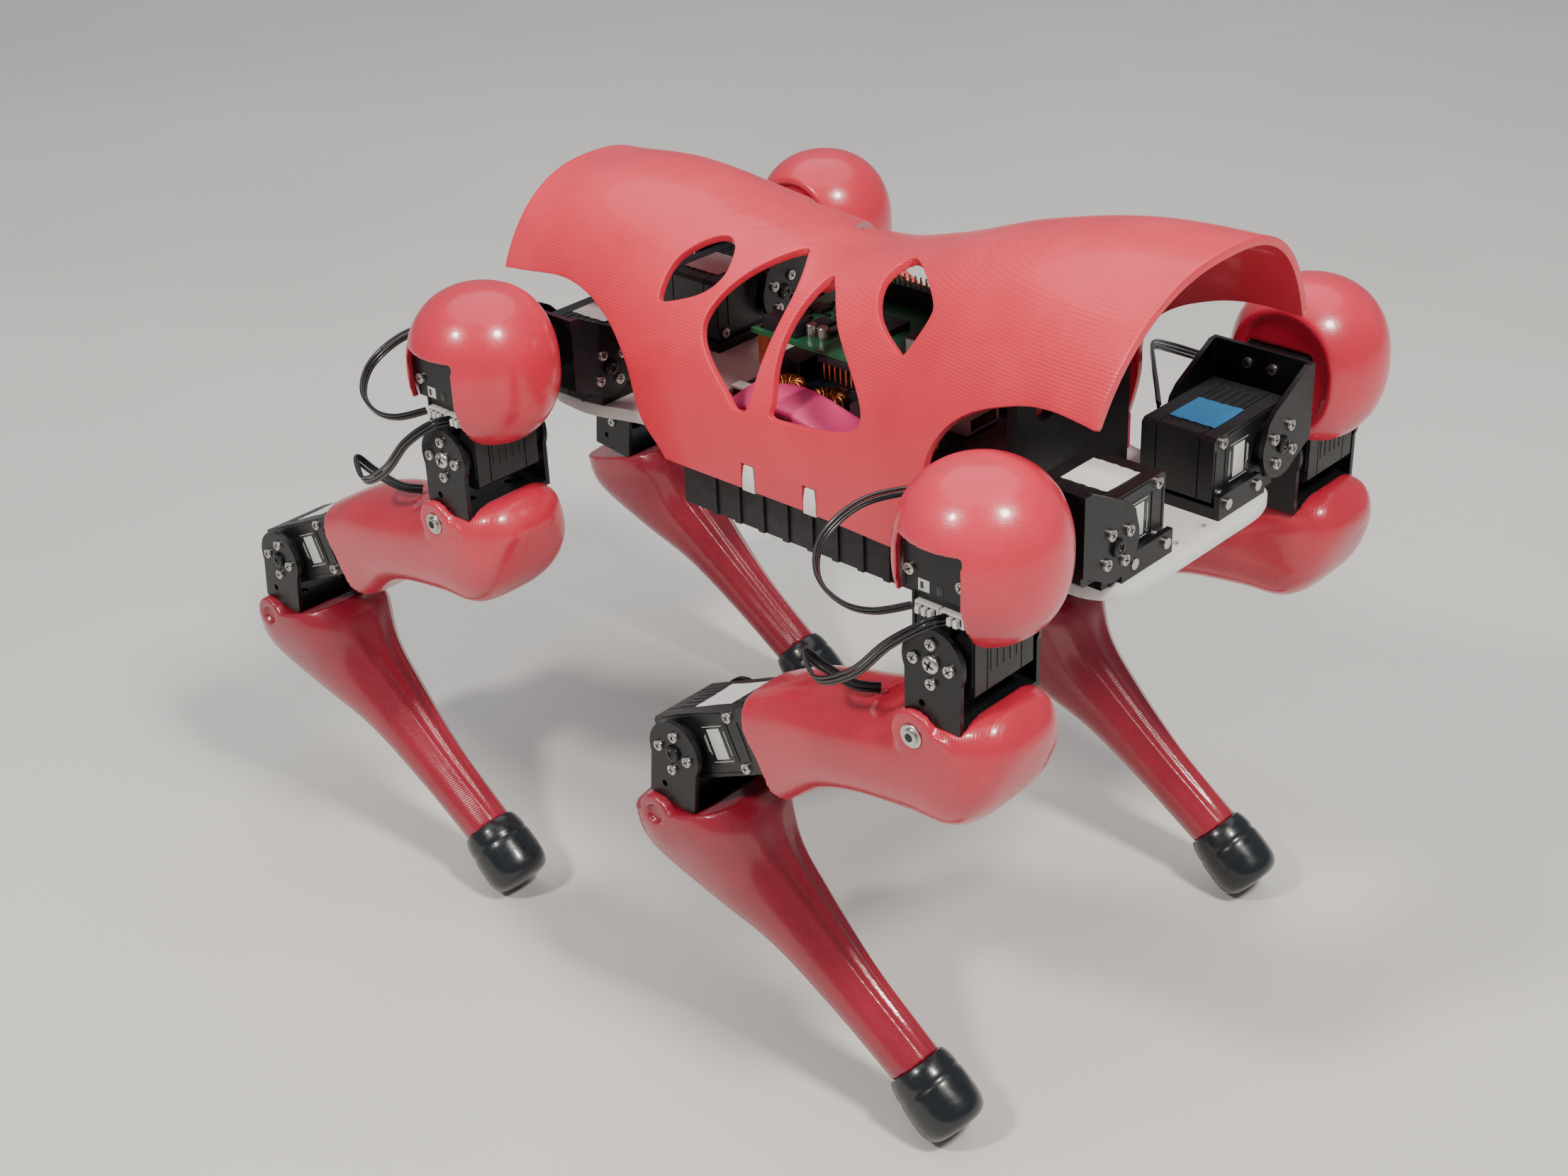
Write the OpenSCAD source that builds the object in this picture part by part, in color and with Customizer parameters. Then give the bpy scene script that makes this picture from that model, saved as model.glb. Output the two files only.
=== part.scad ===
// Quadruped robot dog: a printed body shell on a flat plate, four legs of
// three serial-bus servos each (roll, hip pitch, knee pitch), rubber feet.
// X forward, Y to the robot's left, Z up; the feet stand on Z = 0.

/* [Stance] */
// Distance between the front and the rear roll servos
wheelbase = 230; // [226:1:236]
// Distance between the left and the right roll axes
roll_track = 96; // [94:1:102]
// Height of the roll axes above the ground
roll_axis_z = 228; // [226:1:232]
// Drop from the roll axis to the hip pitch axis
hip_drop = 19; // [18:0.5:20]
// Hip axis to knee axis
thigh_length = 143; // [141:1:145]
// Slope of the thigh below horizontal at rest
thigh_slope = 34.5; // [33:0.5:36]

/* [Servo] */
// Length of the servo case
servo_length = 45.2; // [45:0.1:46]
// Width of the servo case
servo_width = 24.7; // [24:0.1:25]
// Thickness of the servo case along its shaft
servo_depth = 29; // [28:0.5:29.5]
// Distance from the shaft to the near end of the case
shaft_inset = 11.3; // [11:0.1:12]
// Circle of the four horn screws
horn_pcd = 14; // [13:0.5:15]

/* [Body] */
// Thickness of the chassis plate
plate_thick = 5.5; // [5:0.5:6]
// Wall of the back shell
shell_wall = 3; // [2.4:0.2:3.2]
// Radius of the shoulder caps, seen from above
cap_radius = 28; // [27:0.5:29]
// Half height of the shoulder caps
cap_rise = 30; // [29:0.5:31]
// Wall of the shoulder caps
cap_wall = 2.2; // [2:0.2:2.6]

/* [Foot] */
// Radius of the rubber foot caps
foot_radius = 13.2; // [12.6:0.1:13.6]
// Length of the rubber foot caps
foot_length = 27; // [26:0.5:28]

/* [Hidden] */
$fn = 48;
gap = 0.02;              // assembled pieces stay separate solids
screw_r = 1.9;           // pan-head screws
screw_h = 1.1;
hip_x = wheelbase / 2;
centre_x = 58.36;        // from the middle of the wheelbase to the middle of the box, which is the origin
roll_y = roll_track / 2;
half_w = servo_width / 2;
half_d = servo_depth / 2;
far_end = servo_length - shaft_inset;
hub_r = 10;              // horn discs
shaft_r = 3;
shaft_clear = 0.05;      // running fit of a shaft in the servo case
shaft_engage = 3.2;      // length of the shaft inside the case
horn_gap = 1.1;          // case face to horn disc
ear_in = half_d + 3.7;   // inner face of a bracket ear
ear_t = 1.9;             // bracket sheet
ear_out = ear_in + ear_t;
lobe_r = 12;             // rounded end of a bracket ear
web_drop = 20;           // pitch axis to the inside of a pitch bracket's web
web_half = 11;           // half width of a pitch bracket
roll_web_y = 16;         // roll axis to the roll bracket's web
leg_mid = 47;            // roll axis to the middle plane of the leg
knee_x = -thigh_length * cos(thigh_slope);
knee_z = -thigh_length * sin(thigh_slope);
knee_servo_tilt = 25;    // slope of the knee servo at rest
cradle_t = 4.2;          // foot plate under a roll servo
flange_x = half_d + screw_h + 0.2;
flange_t = 2.2;
plate_top = roll_axis_z - half_w - cradle_t;
plate_low = plate_top - plate_thick;
hip_z = roll_axis_z - hip_drop;
foot_tilt = 41;          // slope of the foot's axis
foot_x = 93;             // start of the foot from the knee axis
foot_profile = [for (p = [[0.84, 0], [0.92, 0.1], [0.98, 0.3], [1, 0.5], [1, 0.7], [0.965, 0.82],
    [0.88, 0.91], [0.74, 0.965], [0.55, 0.99], [0.3, 1]]) [foot_radius * p[0], foot_length * p[1]]];
foot_drop = max([for (p = foot_profile) p[1] * sin(foot_tilt) + p[0] * cos(foot_tilt)]);
foot_z = foot_drop - hip_z - knee_z;
block_l = 13;            // block between the knee servo and the thigh
holder_z = far_end - hip_drop + 0.1;
holder_y = leg_mid + half_d + 1.3;

// ---- placing ----------------------------------------------------------

// The chassis is drawn round the middle of the wheelbase
module at_body() translate([centre_x, 0, 0]) children();

// A leg is drawn at its roll axis with +Y outboard, then set at its corner.
module at_leg(front, side)
    translate([centre_x + front * hip_x, side * roll_y, roll_axis_z])
        mirror([0, side < 0 ? 1 : 0, 0]) children();

// Hip pitch axis of a leg, in its middle plane
module at_hip() translate([0, leg_mid, -hip_drop]) children();

// Knee axis of a leg, in its middle plane
module at_knee() translate([knee_x, leg_mid, knee_z - hip_drop]) children();

// Turns a servo so that its shaft lies along Y and its case points up
module pitch_servo() rotate([90, 0, 0]) rotate([0, 0, 90]) children();

// ---- curves -----------------------------------------------------------

// Catmull-Rom value at t along a list of numbers or points
function catmull(p, t) =
    let (n = len(p) - 1, i = min(floor(t), n - 1), f = t - i,
        a = p[max(i - 1, 0)], b = p[i], c = p[i + 1], d = p[min(i + 2, n)])
    0.5 * (2 * b + (c - a) * f + (2 * a - 5 * b + 4 * c - d) * f * f
        + (3 * b - a - 3 * c + d) * f * f * f);

// Smooth closed outline through the corner points
function closed_curve(p, steps) =
    let (n = len(p))
    [for (i = [0 : n - 1], s = [0 : steps - 1])
        let (f = s / steps, a = p[(i + n - 1) % n], b = p[i], c = p[(i + 1) % n], d = p[(i + 2) % n])
        0.5 * (2 * b + (c - a) * f + (2 * a - 5 * b + 4 * c - d) * f * f
            + (3 * b - a - 3 * c + d) * f * f * f)];

// Superellipse point: angle a, half sizes rx and ry, exponent n
function super(a, rx, ry, n) =
    [sign(cos(a)) * rx * pow(abs(cos(a)), 2 / n), sign(sin(a)) * ry * pow(abs(sin(a)), 2 / n)];

// Faces of a tube of rings, capped at both ends
function tube_faces(rings, sides) = concat(
    [for (i = [0 : rings - 2], j = [0 : sides - 1])
        let (k = (j + 1) % sides)
        [i * sides + j, i * sides + k, (i + 1) * sides + k, (i + 1) * sides + j]],
    [[for (j = [sides - 1 : -1 : 0]) j]],
    [[for (j = [0 : sides - 1]) (rings - 1) * sides + j]]);

// A limb: stations [x, z, half height, half width, slope, exponent, y] along the
// middle plane, joined by smooth superelliptic sections
module limb(stations, rings, sides) {
    n = len(stations) - 1;
    points = [for (i = [0 : rings - 1])
        let (s = catmull(stations, i * n / (rings - 1)))
        for (j = [0 : sides - 1])
            let (q = super(360 * j / sides, s[2], s[3], s[5]))
            [s[0] - q[0] * sin(s[4]), s[6] + q[1], s[1] + q[0] * cos(s[4])]];
    polyhedron(points, [for (f = tube_faces(rings, sides)) [for (k = [len(f) - 1 : -1 : 0]) f[k]]],
        convexity = 4);
}

// ---- servos and brackets ----------------------------------------------

// Servo with its shaft along Z at the origin and its case towards -X
module servo() {
    seam = 0.5;
    chamfer = 1.4;
    color([0.05, 0.05, 0.06]) difference() {
        union() {
            translate([0, 0, -half_d]) linear_extrude(servo_depth) polygon([
                [-far_end + chamfer, -half_w], [shaft_inset - chamfer, -half_w],
                [shaft_inset, -half_w + chamfer], [shaft_inset, half_w - chamfer],
                [shaft_inset - chamfer, half_w], [-far_end + chamfer, half_w],
                [-far_end, half_w - chamfer], [-far_end, -half_w + chamfer]]);
            for (m = [-1, 1]) translate([0, 0, m * (half_d + 0.3)])
                cylinder(h = 0.6, r = 6.5, center = true);
        }
        // seams between the three case sections
        for (m = [-1, 1]) translate([-servo_length, -servo_width, m * (half_d - 6) - seam / 2])
            difference() {
                cube([2 * servo_length, 2 * servo_width, seam]);
                translate([servo_length - far_end + seam, half_w + seam, -seam])
                    cube([servo_length - 2 * seam, servo_width - 2 * seam, 3 * seam]);
            }
        // shaft bores on both faces
        for (m = [-1, 1]) translate([0, 0, m * (half_d - 1.5)])
            cylinder(h = 5, r = shaft_r + shaft_clear, center = true);
    }
    // case screws at the far end
    color([0.75, 0.75, 0.72]) for (y = [-1, 1], m = [-1, 1])
        translate([-far_end + 4.6, y * 9.6, m * (half_d + gap + screw_h / 2)])
            cylinder(h = screw_h, r = screw_r, center = true);
}

// Horn disc with its shaft, on the +Z face of a servo
module horn() {
    translate([0, 0, half_d + horn_gap]) cylinder(h = ear_in - half_d - horn_gap, r = hub_r);
    translate([0, 0, half_d - shaft_engage + 0.3]) cylinder(h = horn_gap + shaft_engage, r = shaft_r);
}

// Horn screws and hub screw on the outside of an ear
module ear_screws(turn) {
    for (k = [0 : 3]) rotate(turn + 90 * k)
        translate([horn_pcd / 2, 0, ear_out + gap]) cylinder(h = screw_h, r = screw_r);
    translate([0, 0, ear_out + gap]) difference() {
        cylinder(h = 0.9, r = 3);
        translate([0, 0, 0.4]) cylinder(h = 1, r = 1.4);
    }
}

// Pitch bracket: two ears with horns, joined by a web below the shaft (-X)
module pitch_bracket() {
    color([0.05, 0.05, 0.06]) {
        difference() {
            union() {
                for (m = [-1, 1]) translate([0, 0, m > 0 ? ear_in : -ear_out]) linear_extrude(ear_t) {
                    circle(r = lobe_r);
                    translate([-web_drop - ear_t, -web_half]) square([web_drop + ear_t - 3, 2 * web_half]);
                }
                translate([-web_drop - ear_t, -web_half, -ear_out]) cube([ear_t, 2 * web_half, 2 * ear_out]);
            }
            // slot near the foot of each ear
            translate([-15.5, 4, 0]) cylinder(h = 60, r = 1.3, center = true);
            // web screw holes
            for (z = [-9, 9]) translate([-web_drop - 1, 0, z]) rotate([0, 90, 0])
                cylinder(h = 6, r = 1.6, center = true);
        }
        horn();
        mirror([0, 0, 1]) horn();
    }
    color([0.78, 0.78, 0.75]) {
        ear_screws(0);
        mirror([0, 0, 1]) ear_screws(0);
    }
}

// Outline of a roll bracket's ear: lobe round the shaft, rising to the web
module roll_ear() {
    circle(r = lobe_r);
    polygon([[-11.5, 3], [-9.5, 10], [-6, 13.5], [roll_web_y - 2, 24],
        [roll_web_y + ear_t, 24], [roll_web_y + ear_t, -4], [8, -9]]);
}

// Roll bracket with its horns, and the holder that grips the hip servo's top
module shoulder_bracket() {
    color([0.05, 0.05, 0.06]) {
        difference() {
            union() {
                for (m = [-1, 1]) translate([m > 0 ? ear_in : -ear_out, 0, 0])
                    rotate([90, 0, 90]) linear_extrude(ear_t) roll_ear();
                translate([-ear_out, roll_web_y, -4]) cube([2 * ear_out, ear_t, 28]);
            }
            for (x = [-5, 5]) translate([x, roll_web_y, 18]) rotate([90, 0, 0])
                cylinder(h = 8, r = 1.3, center = true);
        }
        for (m = [0, 1]) mirror([m, 0, 0]) rotate([0, 90, 0]) horn();
        // holder round the top end of the hip servo
        difference() {
            union() {
                translate([-12.3, roll_web_y + ear_t + gap, holder_z]) cube([24.6, holder_y - roll_web_y, 5.4]);
                translate([-12.3, roll_web_y + ear_t + gap, 4])
                    cube([24.6, leg_mid - half_d - 1.3 - roll_web_y - ear_t, holder_z]);
                translate([-12.3, holder_y, 3]) cube([24.6, 1.9 + gap, holder_z + 2.4]);
            }
            for (x = [-5, 5]) translate([x, roll_web_y, 18]) rotate([90, 0, 0])
                cylinder(h = 20, r = 1.3, center = true);
        }
    }
    color([0.78, 0.78, 0.75]) {
        for (m = [0, 1]) mirror([m, 0, 0]) rotate([0, 90, 0]) ear_screws(57);
        for (x = [-5, 5]) translate([x, roll_web_y - gap, 18]) rotate([90, 0, 0])
            cylinder(h = screw_h, r = screw_r);
        for (x = [-10, 10]) translate([x, holder_y + 1.9 + 2 * gap, 10])
            rotate([-90, 0, 0]) cylinder(h = screw_h, r = screw_r);
    }
}

// Egg-shaped surface of revolution about Z
module egg(r, h) rotate_extrude($fn = 64)
    polygon([for (k = [0 : 24]) let (a = -90 + 7.5 * k) [r * cos(a), h * sin(a)]]);

// Round hood over the hip servo, open inboard and below
module shoulder_cap() {
    cap_x = 2;
    cap_y = 45;
    cap_z = 12;
    slot_x = 13.3;
    color([0.93, 0.27, 0.27]) {
        difference() {
            translate([cap_x, cap_y, cap_z]) difference() {
                egg(cap_radius, cap_rise);
                egg(cap_radius - cap_wall, cap_rise - cap_wall);
            }
            // inboard opening
            translate([-50, -50, -50]) cube([100, 76, 150]);
            // slanted lower rim
            translate([0, -10, -8]) rotate([0, 18, 0]) translate([-80, 0, -80]) cube([160, 160, 80]);
            // slot for the servo's outer face
            translate([-slot_x, 50, -60]) cube([2 * slot_x, 50, 82]);
            // way for the leads behind the servo
            translate([-40, 50, -60]) cube([40, 50, 62]);
            // room for the servo and for the swinging hip bracket
            translate([-12.9, 31, -60]) cube([25.8, 32, 80]);
            translate([0, 0, -hip_drop]) rotate([-90, 0, 0]) cylinder(h = 100, r = lobe_r + 1.2);
        }
        // post that stands on the servo's holder
        intersection() {
            translate([cap_x, cap_y, holder_z + 5.4 + gap]) cylinder(h = 30, r = 5);
            translate([cap_x, cap_y, cap_z]) egg(cap_radius - cap_wall / 2, cap_rise - cap_wall / 2);
        }
    }
}

// ---- chassis ----------------------------------------------------------

// Right half of the plate's outline from the rear to the front
function plate_half() = [[-137, 0], [-137, -34], [-133, -44], [-124, -50], [-104, -51], [-94, -47],
    [-80, -44], [-72, -47], [-62, -55], [-50, -57.5], [50, -57.5], [62, -55], [72, -47], [80, -44],
    [94, -47], [104, -51], [124, -50], [133, -44], [137, -34], [137, 0]];

module chassis_plate() {
    right = plate_half();
    left = [for (i = [len(right) - 2 : -1 : 1]) [right[i][0], -right[i][1]]];
    at_body() color([0.93, 0.93, 0.91]) translate([0, 0, plate_low]) difference() {
        union() {
            linear_extrude(plate_thick) polygon(concat(right, left));
            // tabs that locate the shell's skirt
            for (x = [-13, 16], m = [-1, 1]) translate([x, m * 59, plate_thick - 1])
                linear_extrude(6) polygon([[-3, -1.9], [3, -1.9], [3, 1.9], [-3, 1.9]]);
            for (x = [-13, 16], m = [-1, 1]) translate([x - 3, m < 0 ? -61 : 57, 0]) cube([6, 4, plate_thick]);
        }
        // accessory holes at the ends of the plate
        for (x = [-130, 130], y = [-8, 8]) translate([x, y, -1]) cylinder(h = 10, r = 1.6);
        // lead slots
        for (x = [-60, 60]) translate([x, 0, -1]) linear_extrude(10) square([8, 40], center = true);
    }
}

// Height of the shell's ridge along X
ridge_x = [-150, -110, -60, -15, 20, 60, 100, 141];
ridge_z = [288, 291, 285, 281, 289, 303, 312, 314];
// Half width of the shell's section along X
side_w = [56, 58, 61, 61, 61, 63, 67, 70];
section_n = 2.4;         // exponent of the section
skirt_z = 207;           // lower edge of the skirt

// Position of x in the list of stations, for catmull()
function station(x, i = 0) =
    i >= len(ridge_x) - 2 || x < ridge_x[i + 1] ?
        i + (x - ridge_x[i]) / (ridge_x[i + 1] - ridge_x[i]) : station(x, i + 1);

// Point of the shell at x and angle a, moved in by d from the outer face
function shell_point(x, a, d) =
    let (t = station(x), w = catmull(side_w, t) - d, h = catmull(ridge_z, t) - skirt_z - d,
        q = super(a, w, h, section_n))
    [x, q[0], skirt_z + q[1]];

module shell_body() {
    cols = 30;
    rows = 24;
    outer = [for (i = [0 : cols], j = [0 : rows]) shell_point(-150 + 291 * i / cols, 180 * j / rows, 0)];
    inner = [for (i = [0 : cols], j = [0 : rows]) shell_point(-150 + 291 * i / cols, 180 * j / rows, shell_wall)];
    n = rows + 1;
    half = (cols + 1) * n;
    faces = concat(
        [for (i = [0 : cols - 1], j = [0 : rows - 1])
            [i * n + j, i * n + j + 1, (i + 1) * n + j + 1, (i + 1) * n + j]],
        [for (i = [0 : cols - 1], j = [0 : rows - 1])
            [half + i * n + j, half + (i + 1) * n + j, half + (i + 1) * n + j + 1, half + i * n + j + 1]],
        [for (i = [0 : cols - 1], j = [0, rows])
            j == 0 ? [i * n, (i + 1) * n, half + (i + 1) * n, half + i * n]
                : [i * n + j, half + i * n + j, half + (i + 1) * n + j, (i + 1) * n + j]],
        [for (j = [0 : rows - 1]) [j, half + j, half + j + 1, j + 1]],
        [for (j = [0 : rows - 1])
            let (b = cols * n) [b + j, b + j + 1, half + b + j + 1, half + b + j]]);
    polyhedron(concat(outer, inner), faces, convexity = 6);
}

// Corners of the four windows in each side, [x, distance down a plane that slopes 45 degrees]
windows = [
    [[-57, -182], [-49, -180], [-44, -168], [-49, -158], [-64, -151], [-67, -155], [-66, -169]],
    [[-27, -186], [-20, -185], [-10, -164], [-13, -130], [-19, -125], [-25, -128], [-43, -149]],
    [[-7, -177], [1, -176], [14, -162], [37, -133], [-1, -126], [-4, -132], [-9, -152]],
    [[26, -193], [38, -188], [52, -177], [55, -170], [50, -157], [45, -158], [31, -168], [23, -182]]];
// Outlines of the openings over the legs, in X and Z
front_arch = [[58, 200], [63, 215], [67, 231], [69, 246], [78, 259], [94, 268], [116, 273], [150, 270]];
rear_arch = [[-50, 200], [-56, 209], [-67, 220], [-76, 238], [-91, 252], [-113, 259], [-142, 256], [-160, 254]];

module arch(p) {
    n = len(p) - 1;
    top = [for (i = [0 : 4 * n]) catmull(p, i / 4)];
    rotate([90, 0, 0]) linear_extrude(200, center = true)
        polygon(concat(top, [[p[n][0], p[0][1]]]));
}

module back_shell() {
    bow = 286;
    at_body() color([0.93, 0.27, 0.27]) difference() {
        intersection() {
            shell_body();
            // bowed front edge
            translate([140 - bow, 0, 190]) cylinder(h = 140, r = bow, $fn = 180);
        }
        arch(front_arch);
        arch(rear_arch);
        for (w = windows, m = [0, 1]) mirror([0, m, 0]) rotate([-45, 0, 0])
            translate([0, 0, 185]) linear_extrude(50) polygon(closed_curve(w, 3));
        // notches for the plate's tabs
        for (x = [-13, 16], m = [-1, 1]) translate([x, m * 60, skirt_z])
            cube([6.6, 12, 2 * (plate_top + 5.4 - skirt_z)], center = true);
    }
}

// Ribbed battery box under the plate
module battery_case() {
    case_w = 84;
    case_l = 112;
    case_x = -9;
    case_low = plate_low - 27;
    at_body() color([0.06, 0.06, 0.08]) difference() {
        union() {
            translate([case_x - case_l / 2, -case_w / 2, case_low]) cube([case_l, case_w, 27 - gap]);
            for (k = [0 : 7], m = [-1, 1]) translate([case_x - 40 + 12 * k, m * case_w / 2, case_low + 12])
                cube([3, 2, 24], center = true);
            translate([case_x - case_l / 2 + 4, -case_w / 2 + 4, case_low - 1]) cube([case_l - 8, case_w - 8, 2]);
        }
        translate([case_x, 0, case_low + 15]) cube([case_l - 4.4, case_w - 4.4, 25], center = true);
    }
}

module battery_cells() {
    at_body() color([0.1, 0.25, 0.5]) for (k = [-1.5 : 1 : 1.5]) translate([-9, k * 19.2, plate_low - 14])
        rotate([0, 90, 0]) cylinder(h = 66, r = 9.2, center = true);
}

// Printed tray and uprights that carry the electronics
module electronics_tray() {
    at_body() color([0.85, 0.2, 0.45]) translate([0, 0, plate_top + gap]) {
        difference() {
            translate([-62, -50, 0]) cube([124, 100, 3]);
            translate([-50, -38, -1]) cube([100, 76, 5]);
        }
        for (x = [-60, -14, 36, 56], m = [-1, 1]) translate([x, m > 0 ? 44 : -50, 2.9]) cube([4, 6, 30]);
        for (m = [-1, 1]) translate([-58, m > 0 ? 46 : -50, 32]) cube([118, 4, 4]);
        for (x = [-58, 56]) translate([x, -48, 32]) cube([4, 96, 4]);
        for (m = [-1, 1]) translate([-78, m > 0 ? 37 : -43, 0]) cube([17, 6, 9]);
        for (m = [-1, 1]) translate([60, m > 0 ? 37 : -43, 0]) cube([17, 6, 14]);
    }
}

module board(l, w, t) {
    difference() {
        translate([-l / 2, -w / 2, 0]) cube([l, w, t]);
        for (x = [-1, 1], y = [-1, 1]) translate([x * (l / 2 - 3.5), y * (w / 2 - 3.5), -1])
            cylinder(h = t + 2, r = 1.4);
    }
}

// Single-board computer with its ports and pin header
module computer_board() {
    at_body() translate([2, 0, plate_top + 38 + gap]) {
        color([0.1, 0.35, 0.2]) board(85, 56, 1.6);
        color([0.7, 0.7, 0.72]) {
            for (y = [-18, 0, 18]) translate([28, y - 7, 1.6 + gap]) cube([17, 14, 13]);
            translate([-12, -8, 1.6 + gap]) cube([15, 15, 2.4]);
        }
        color([0.1, 0.1, 0.1]) {
            translate([-32, 21, 1.6 + gap]) cube([50, 5, 8]);
            translate([-38, -26, 1.6 + gap]) cube([16, 8, 5]);
        }
    }
}

// Servo driver board with inductors and connectors, under the computer
module driver_board() {
    at_body() translate([-2, 0, plate_top + 12]) {
        color([0.08, 0.08, 0.1]) board(96, 72, 1.6);
        color([0.75, 0.45, 0.2]) for (x = [-24, -4], y = [-26, 26]) translate([x, y, 1.6 + gap]) difference() {
            cylinder(h = 8, r = 7);
            translate([0, 0, -1]) cylinder(h = 10, r = 3);
        }
        color([0.12, 0.12, 0.12]) {
            for (x = [18, 34], m = [-1, 1]) translate([x - 5, m * 28 - 5, 1.6 + gap]) cube([10, 10, 12]);
            translate([-42, -12, 1.6 + gap]) cube([12, 24, 9]);
        }
    }
}

// Dark wall between the electronics bay and the front servos
module front_panel() {
    at_body() color([0.08, 0.08, 0.09]) translate([81, 0, plate_top + gap]) {
        difference() {
            translate([-2, -32, 0]) cube([4, 64, 60]);
            for (y = [-16, 16]) translate([0, y, 40]) rotate([0, 90, 0]) cylinder(h = 10, r = 6, center = true);
        }
        translate([-8, -24, 48]) cube([6, 48, 4]);
    }
}

// Foot plates that hold the four roll servos to the chassis plate
module servo_cradles() {
    color([0.06, 0.06, 0.07]) for (f = [-1, 1], s = [-1, 1]) at_leg(f, s) mirror([f < 0 ? 1 : 0, 0, 0]) {
        translate([-16, -far_end - 0.4, -half_w - cradle_t + gap]) cube([31.7, 36, cradle_t - 2 * gap]);
        // flange with the two holding screws, cut round the swinging ear
        difference() {
            translate([flange_x, -far_end - 0.4, -half_w - cradle_t + gap]) cube([flange_t, 28, 8.8]);
            rotate([0, 90, 0]) cylinder(h = 60, r = lobe_r + 0.5);
        }
    }
}

module chassis_screws() {
    color([0.78, 0.78, 0.75]) {
        for (f = [-1, 1], s = [-1, 1]) at_leg(f, s) mirror([f < 0 ? 1 : 0, 0, 0])
            for (y = [-30, -12])
                translate([flange_x + flange_t + gap, y, -11.4]) rotate([0, 90, 0])
                    cylinder(h = screw_h, r = screw_r);
        at_body() for (m = [-1, 1]) translate([0, 0, plate_top + gap]) {
            for (x = [-46.5, 42.5]) translate([x, m * 32.5, 0]) cylinder(h = 11.9 - 2 * gap, r = 2.5, $fn = 6);
            for (x = [-37, 41]) translate([x, m * 24.5, 13.7]) cylinder(h = 24.3 - gap, r = 2.5, $fn = 6);
        }
    }
}

// ---- leg --------------------------------------------------------------

module hip_bracket() at_hip() pitch_servo() pitch_bracket();

// Stations of the thigh: x and z from the hip axis, half height, half width, slope, exponent, y
thigh_stations = [
    [25.6, -27.6, 0.6, 2, 8, 2, leg_mid + 0.5], [24.5, -27.5, 4.5, 10, 8, 2.2, leg_mid + 0.5],
    [20.6, -28, 11, 17, 14, 2.8, leg_mid + 0.5], [14, -34, 17.3, 21.5, 12, 3.2, leg_mid + 0.7],
    [4, -39.3, 21.6, 22.8, 7, 3.2, leg_mid + 1], [-14, -44, 20, 22.5, 8, 2.6, leg_mid + 1],
    [-40, -50, 18, 21.5, 12, 2.6, leg_mid + 1], [-62, -57, 19, 20.5, 24, 2.8, leg_mid + 0.5],
    [-80, -68, 20.5, 19.5, 28, 3.2, leg_mid]];

// Round lobe of an outer cheek, over the bracket's ear
module cheek_lobe(x, z, r) translate([x, ear_out - 5, z]) rotate([-90, 0, 0]) cylinder(h = 7.85, r = r);

// Boot-shaped thigh, hollow at the hip for its bracket and at the knee for its servo's block
module thigh() {
    color([0.93, 0.27, 0.27]) difference() {
        union() {
            translate([0, 0, -hip_drop]) limb(thigh_stations, 21, 20);
            at_hip() cheek_lobe(-6, -27, 9);
        }
        at_hip() {
            // hollow for the hip bracket, open on its inboard side
            translate([-web_half - 0.05, -30, -web_drop - ear_t - 0.05])
                cube([2 * web_half + 0.1, 30.05 + ear_out, 60]);
            // round seat under the swinging end of the hip servo
            rotate([90, 0, 0]) cylinder(h = 60, r = 21, center = true);
            // bolt hole in the cheek
            translate([-6, 10, -27]) rotate([-90, 0, 0]) cylinder(h = 20, r = 1.6);
            // arched way for the leads
            translate([-27, 25, -24]) rotate([90, 0, 0]) cylinder(h = 30, r = 7);
        }
        // hollow for the knee servo's block
        at_knee() pitch_servo() rotate([0, 0, 90 + knee_servo_tilt])
            translate([-far_end - block_l - 0.05, -half_w - 0.05, -half_d - 0.05])
                cube([block_l + 20, servo_width + 0.1, servo_depth + 0.1]);
        // curved end of the outer wall
        at_knee() translate([14, 14, -2]) rotate([-90, 0, 0]) cylinder(h = 20, r = 30);
    }
    // bolt and washer in the cheek
    color([0.75, 0.75, 0.72]) at_hip() translate([-6, 22.95, -27]) rotate([-90, 0, 0]) difference() {
        cylinder(h = 1.4, r = 4);
        translate([0, 0, 0.6]) cylinder(h = 1, r = 1.3, $fn = 6);
    }
}

// Knee servo with the block that carries it in the thigh
module knee_servo() at_knee() pitch_servo() rotate([0, 0, 90 + knee_servo_tilt]) {
    servo();
    color([0.05, 0.05, 0.06]) translate([-far_end - block_l, -half_w, -half_d])
        cube([block_l - gap, servo_width, servo_depth]);
}

module knee_bracket() at_knee() pitch_servo() rotate([0, 0, -6]) pitch_bracket();

// Stations of the shin: x and z from the knee axis, then as for the thigh
shin_stations = [
    [-4, -26, 26, 22.5, 107, 3, 1], [2, -36, 27.5, 23, 116, 2.7, 1],
    [18, -51, 19.5, 18, 128, 2.4, 0.5], [40, -64.5, 13, 14, 144, 2.2, 0],
    [67, -85, 10.4, 10.8, 144, 2, 0], [foot_x, foot_z, 9.9, 9.9, 180 - foot_tilt, 2, 0]];

module shin() {
    color([0.85, 0.2, 0.22]) at_knee() difference() {
        union() {
            limb(shin_stations, 15, 20);
            cheek_lobe(-9, -28, 8);
        }
        // hollow for the knee bracket, open on its inboard side
        rotate([0, 6, 0]) translate([-web_half - 0.05, -30, -web_drop - ear_t - 0.05])
            cube([2 * web_half + 0.1, 30.05 + ear_out, 60]);
        // round seat under the swinging end of the knee servo
        rotate([90, 0, 0]) cylinder(h = 60, r = 21, center = true);
        // hexagonal nut recess in the cheek
        translate([-9, 21.5, -28]) rotate([-90, 0, 0]) cylinder(h = 6, r = 4, $fn = 6);
    }
}

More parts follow.
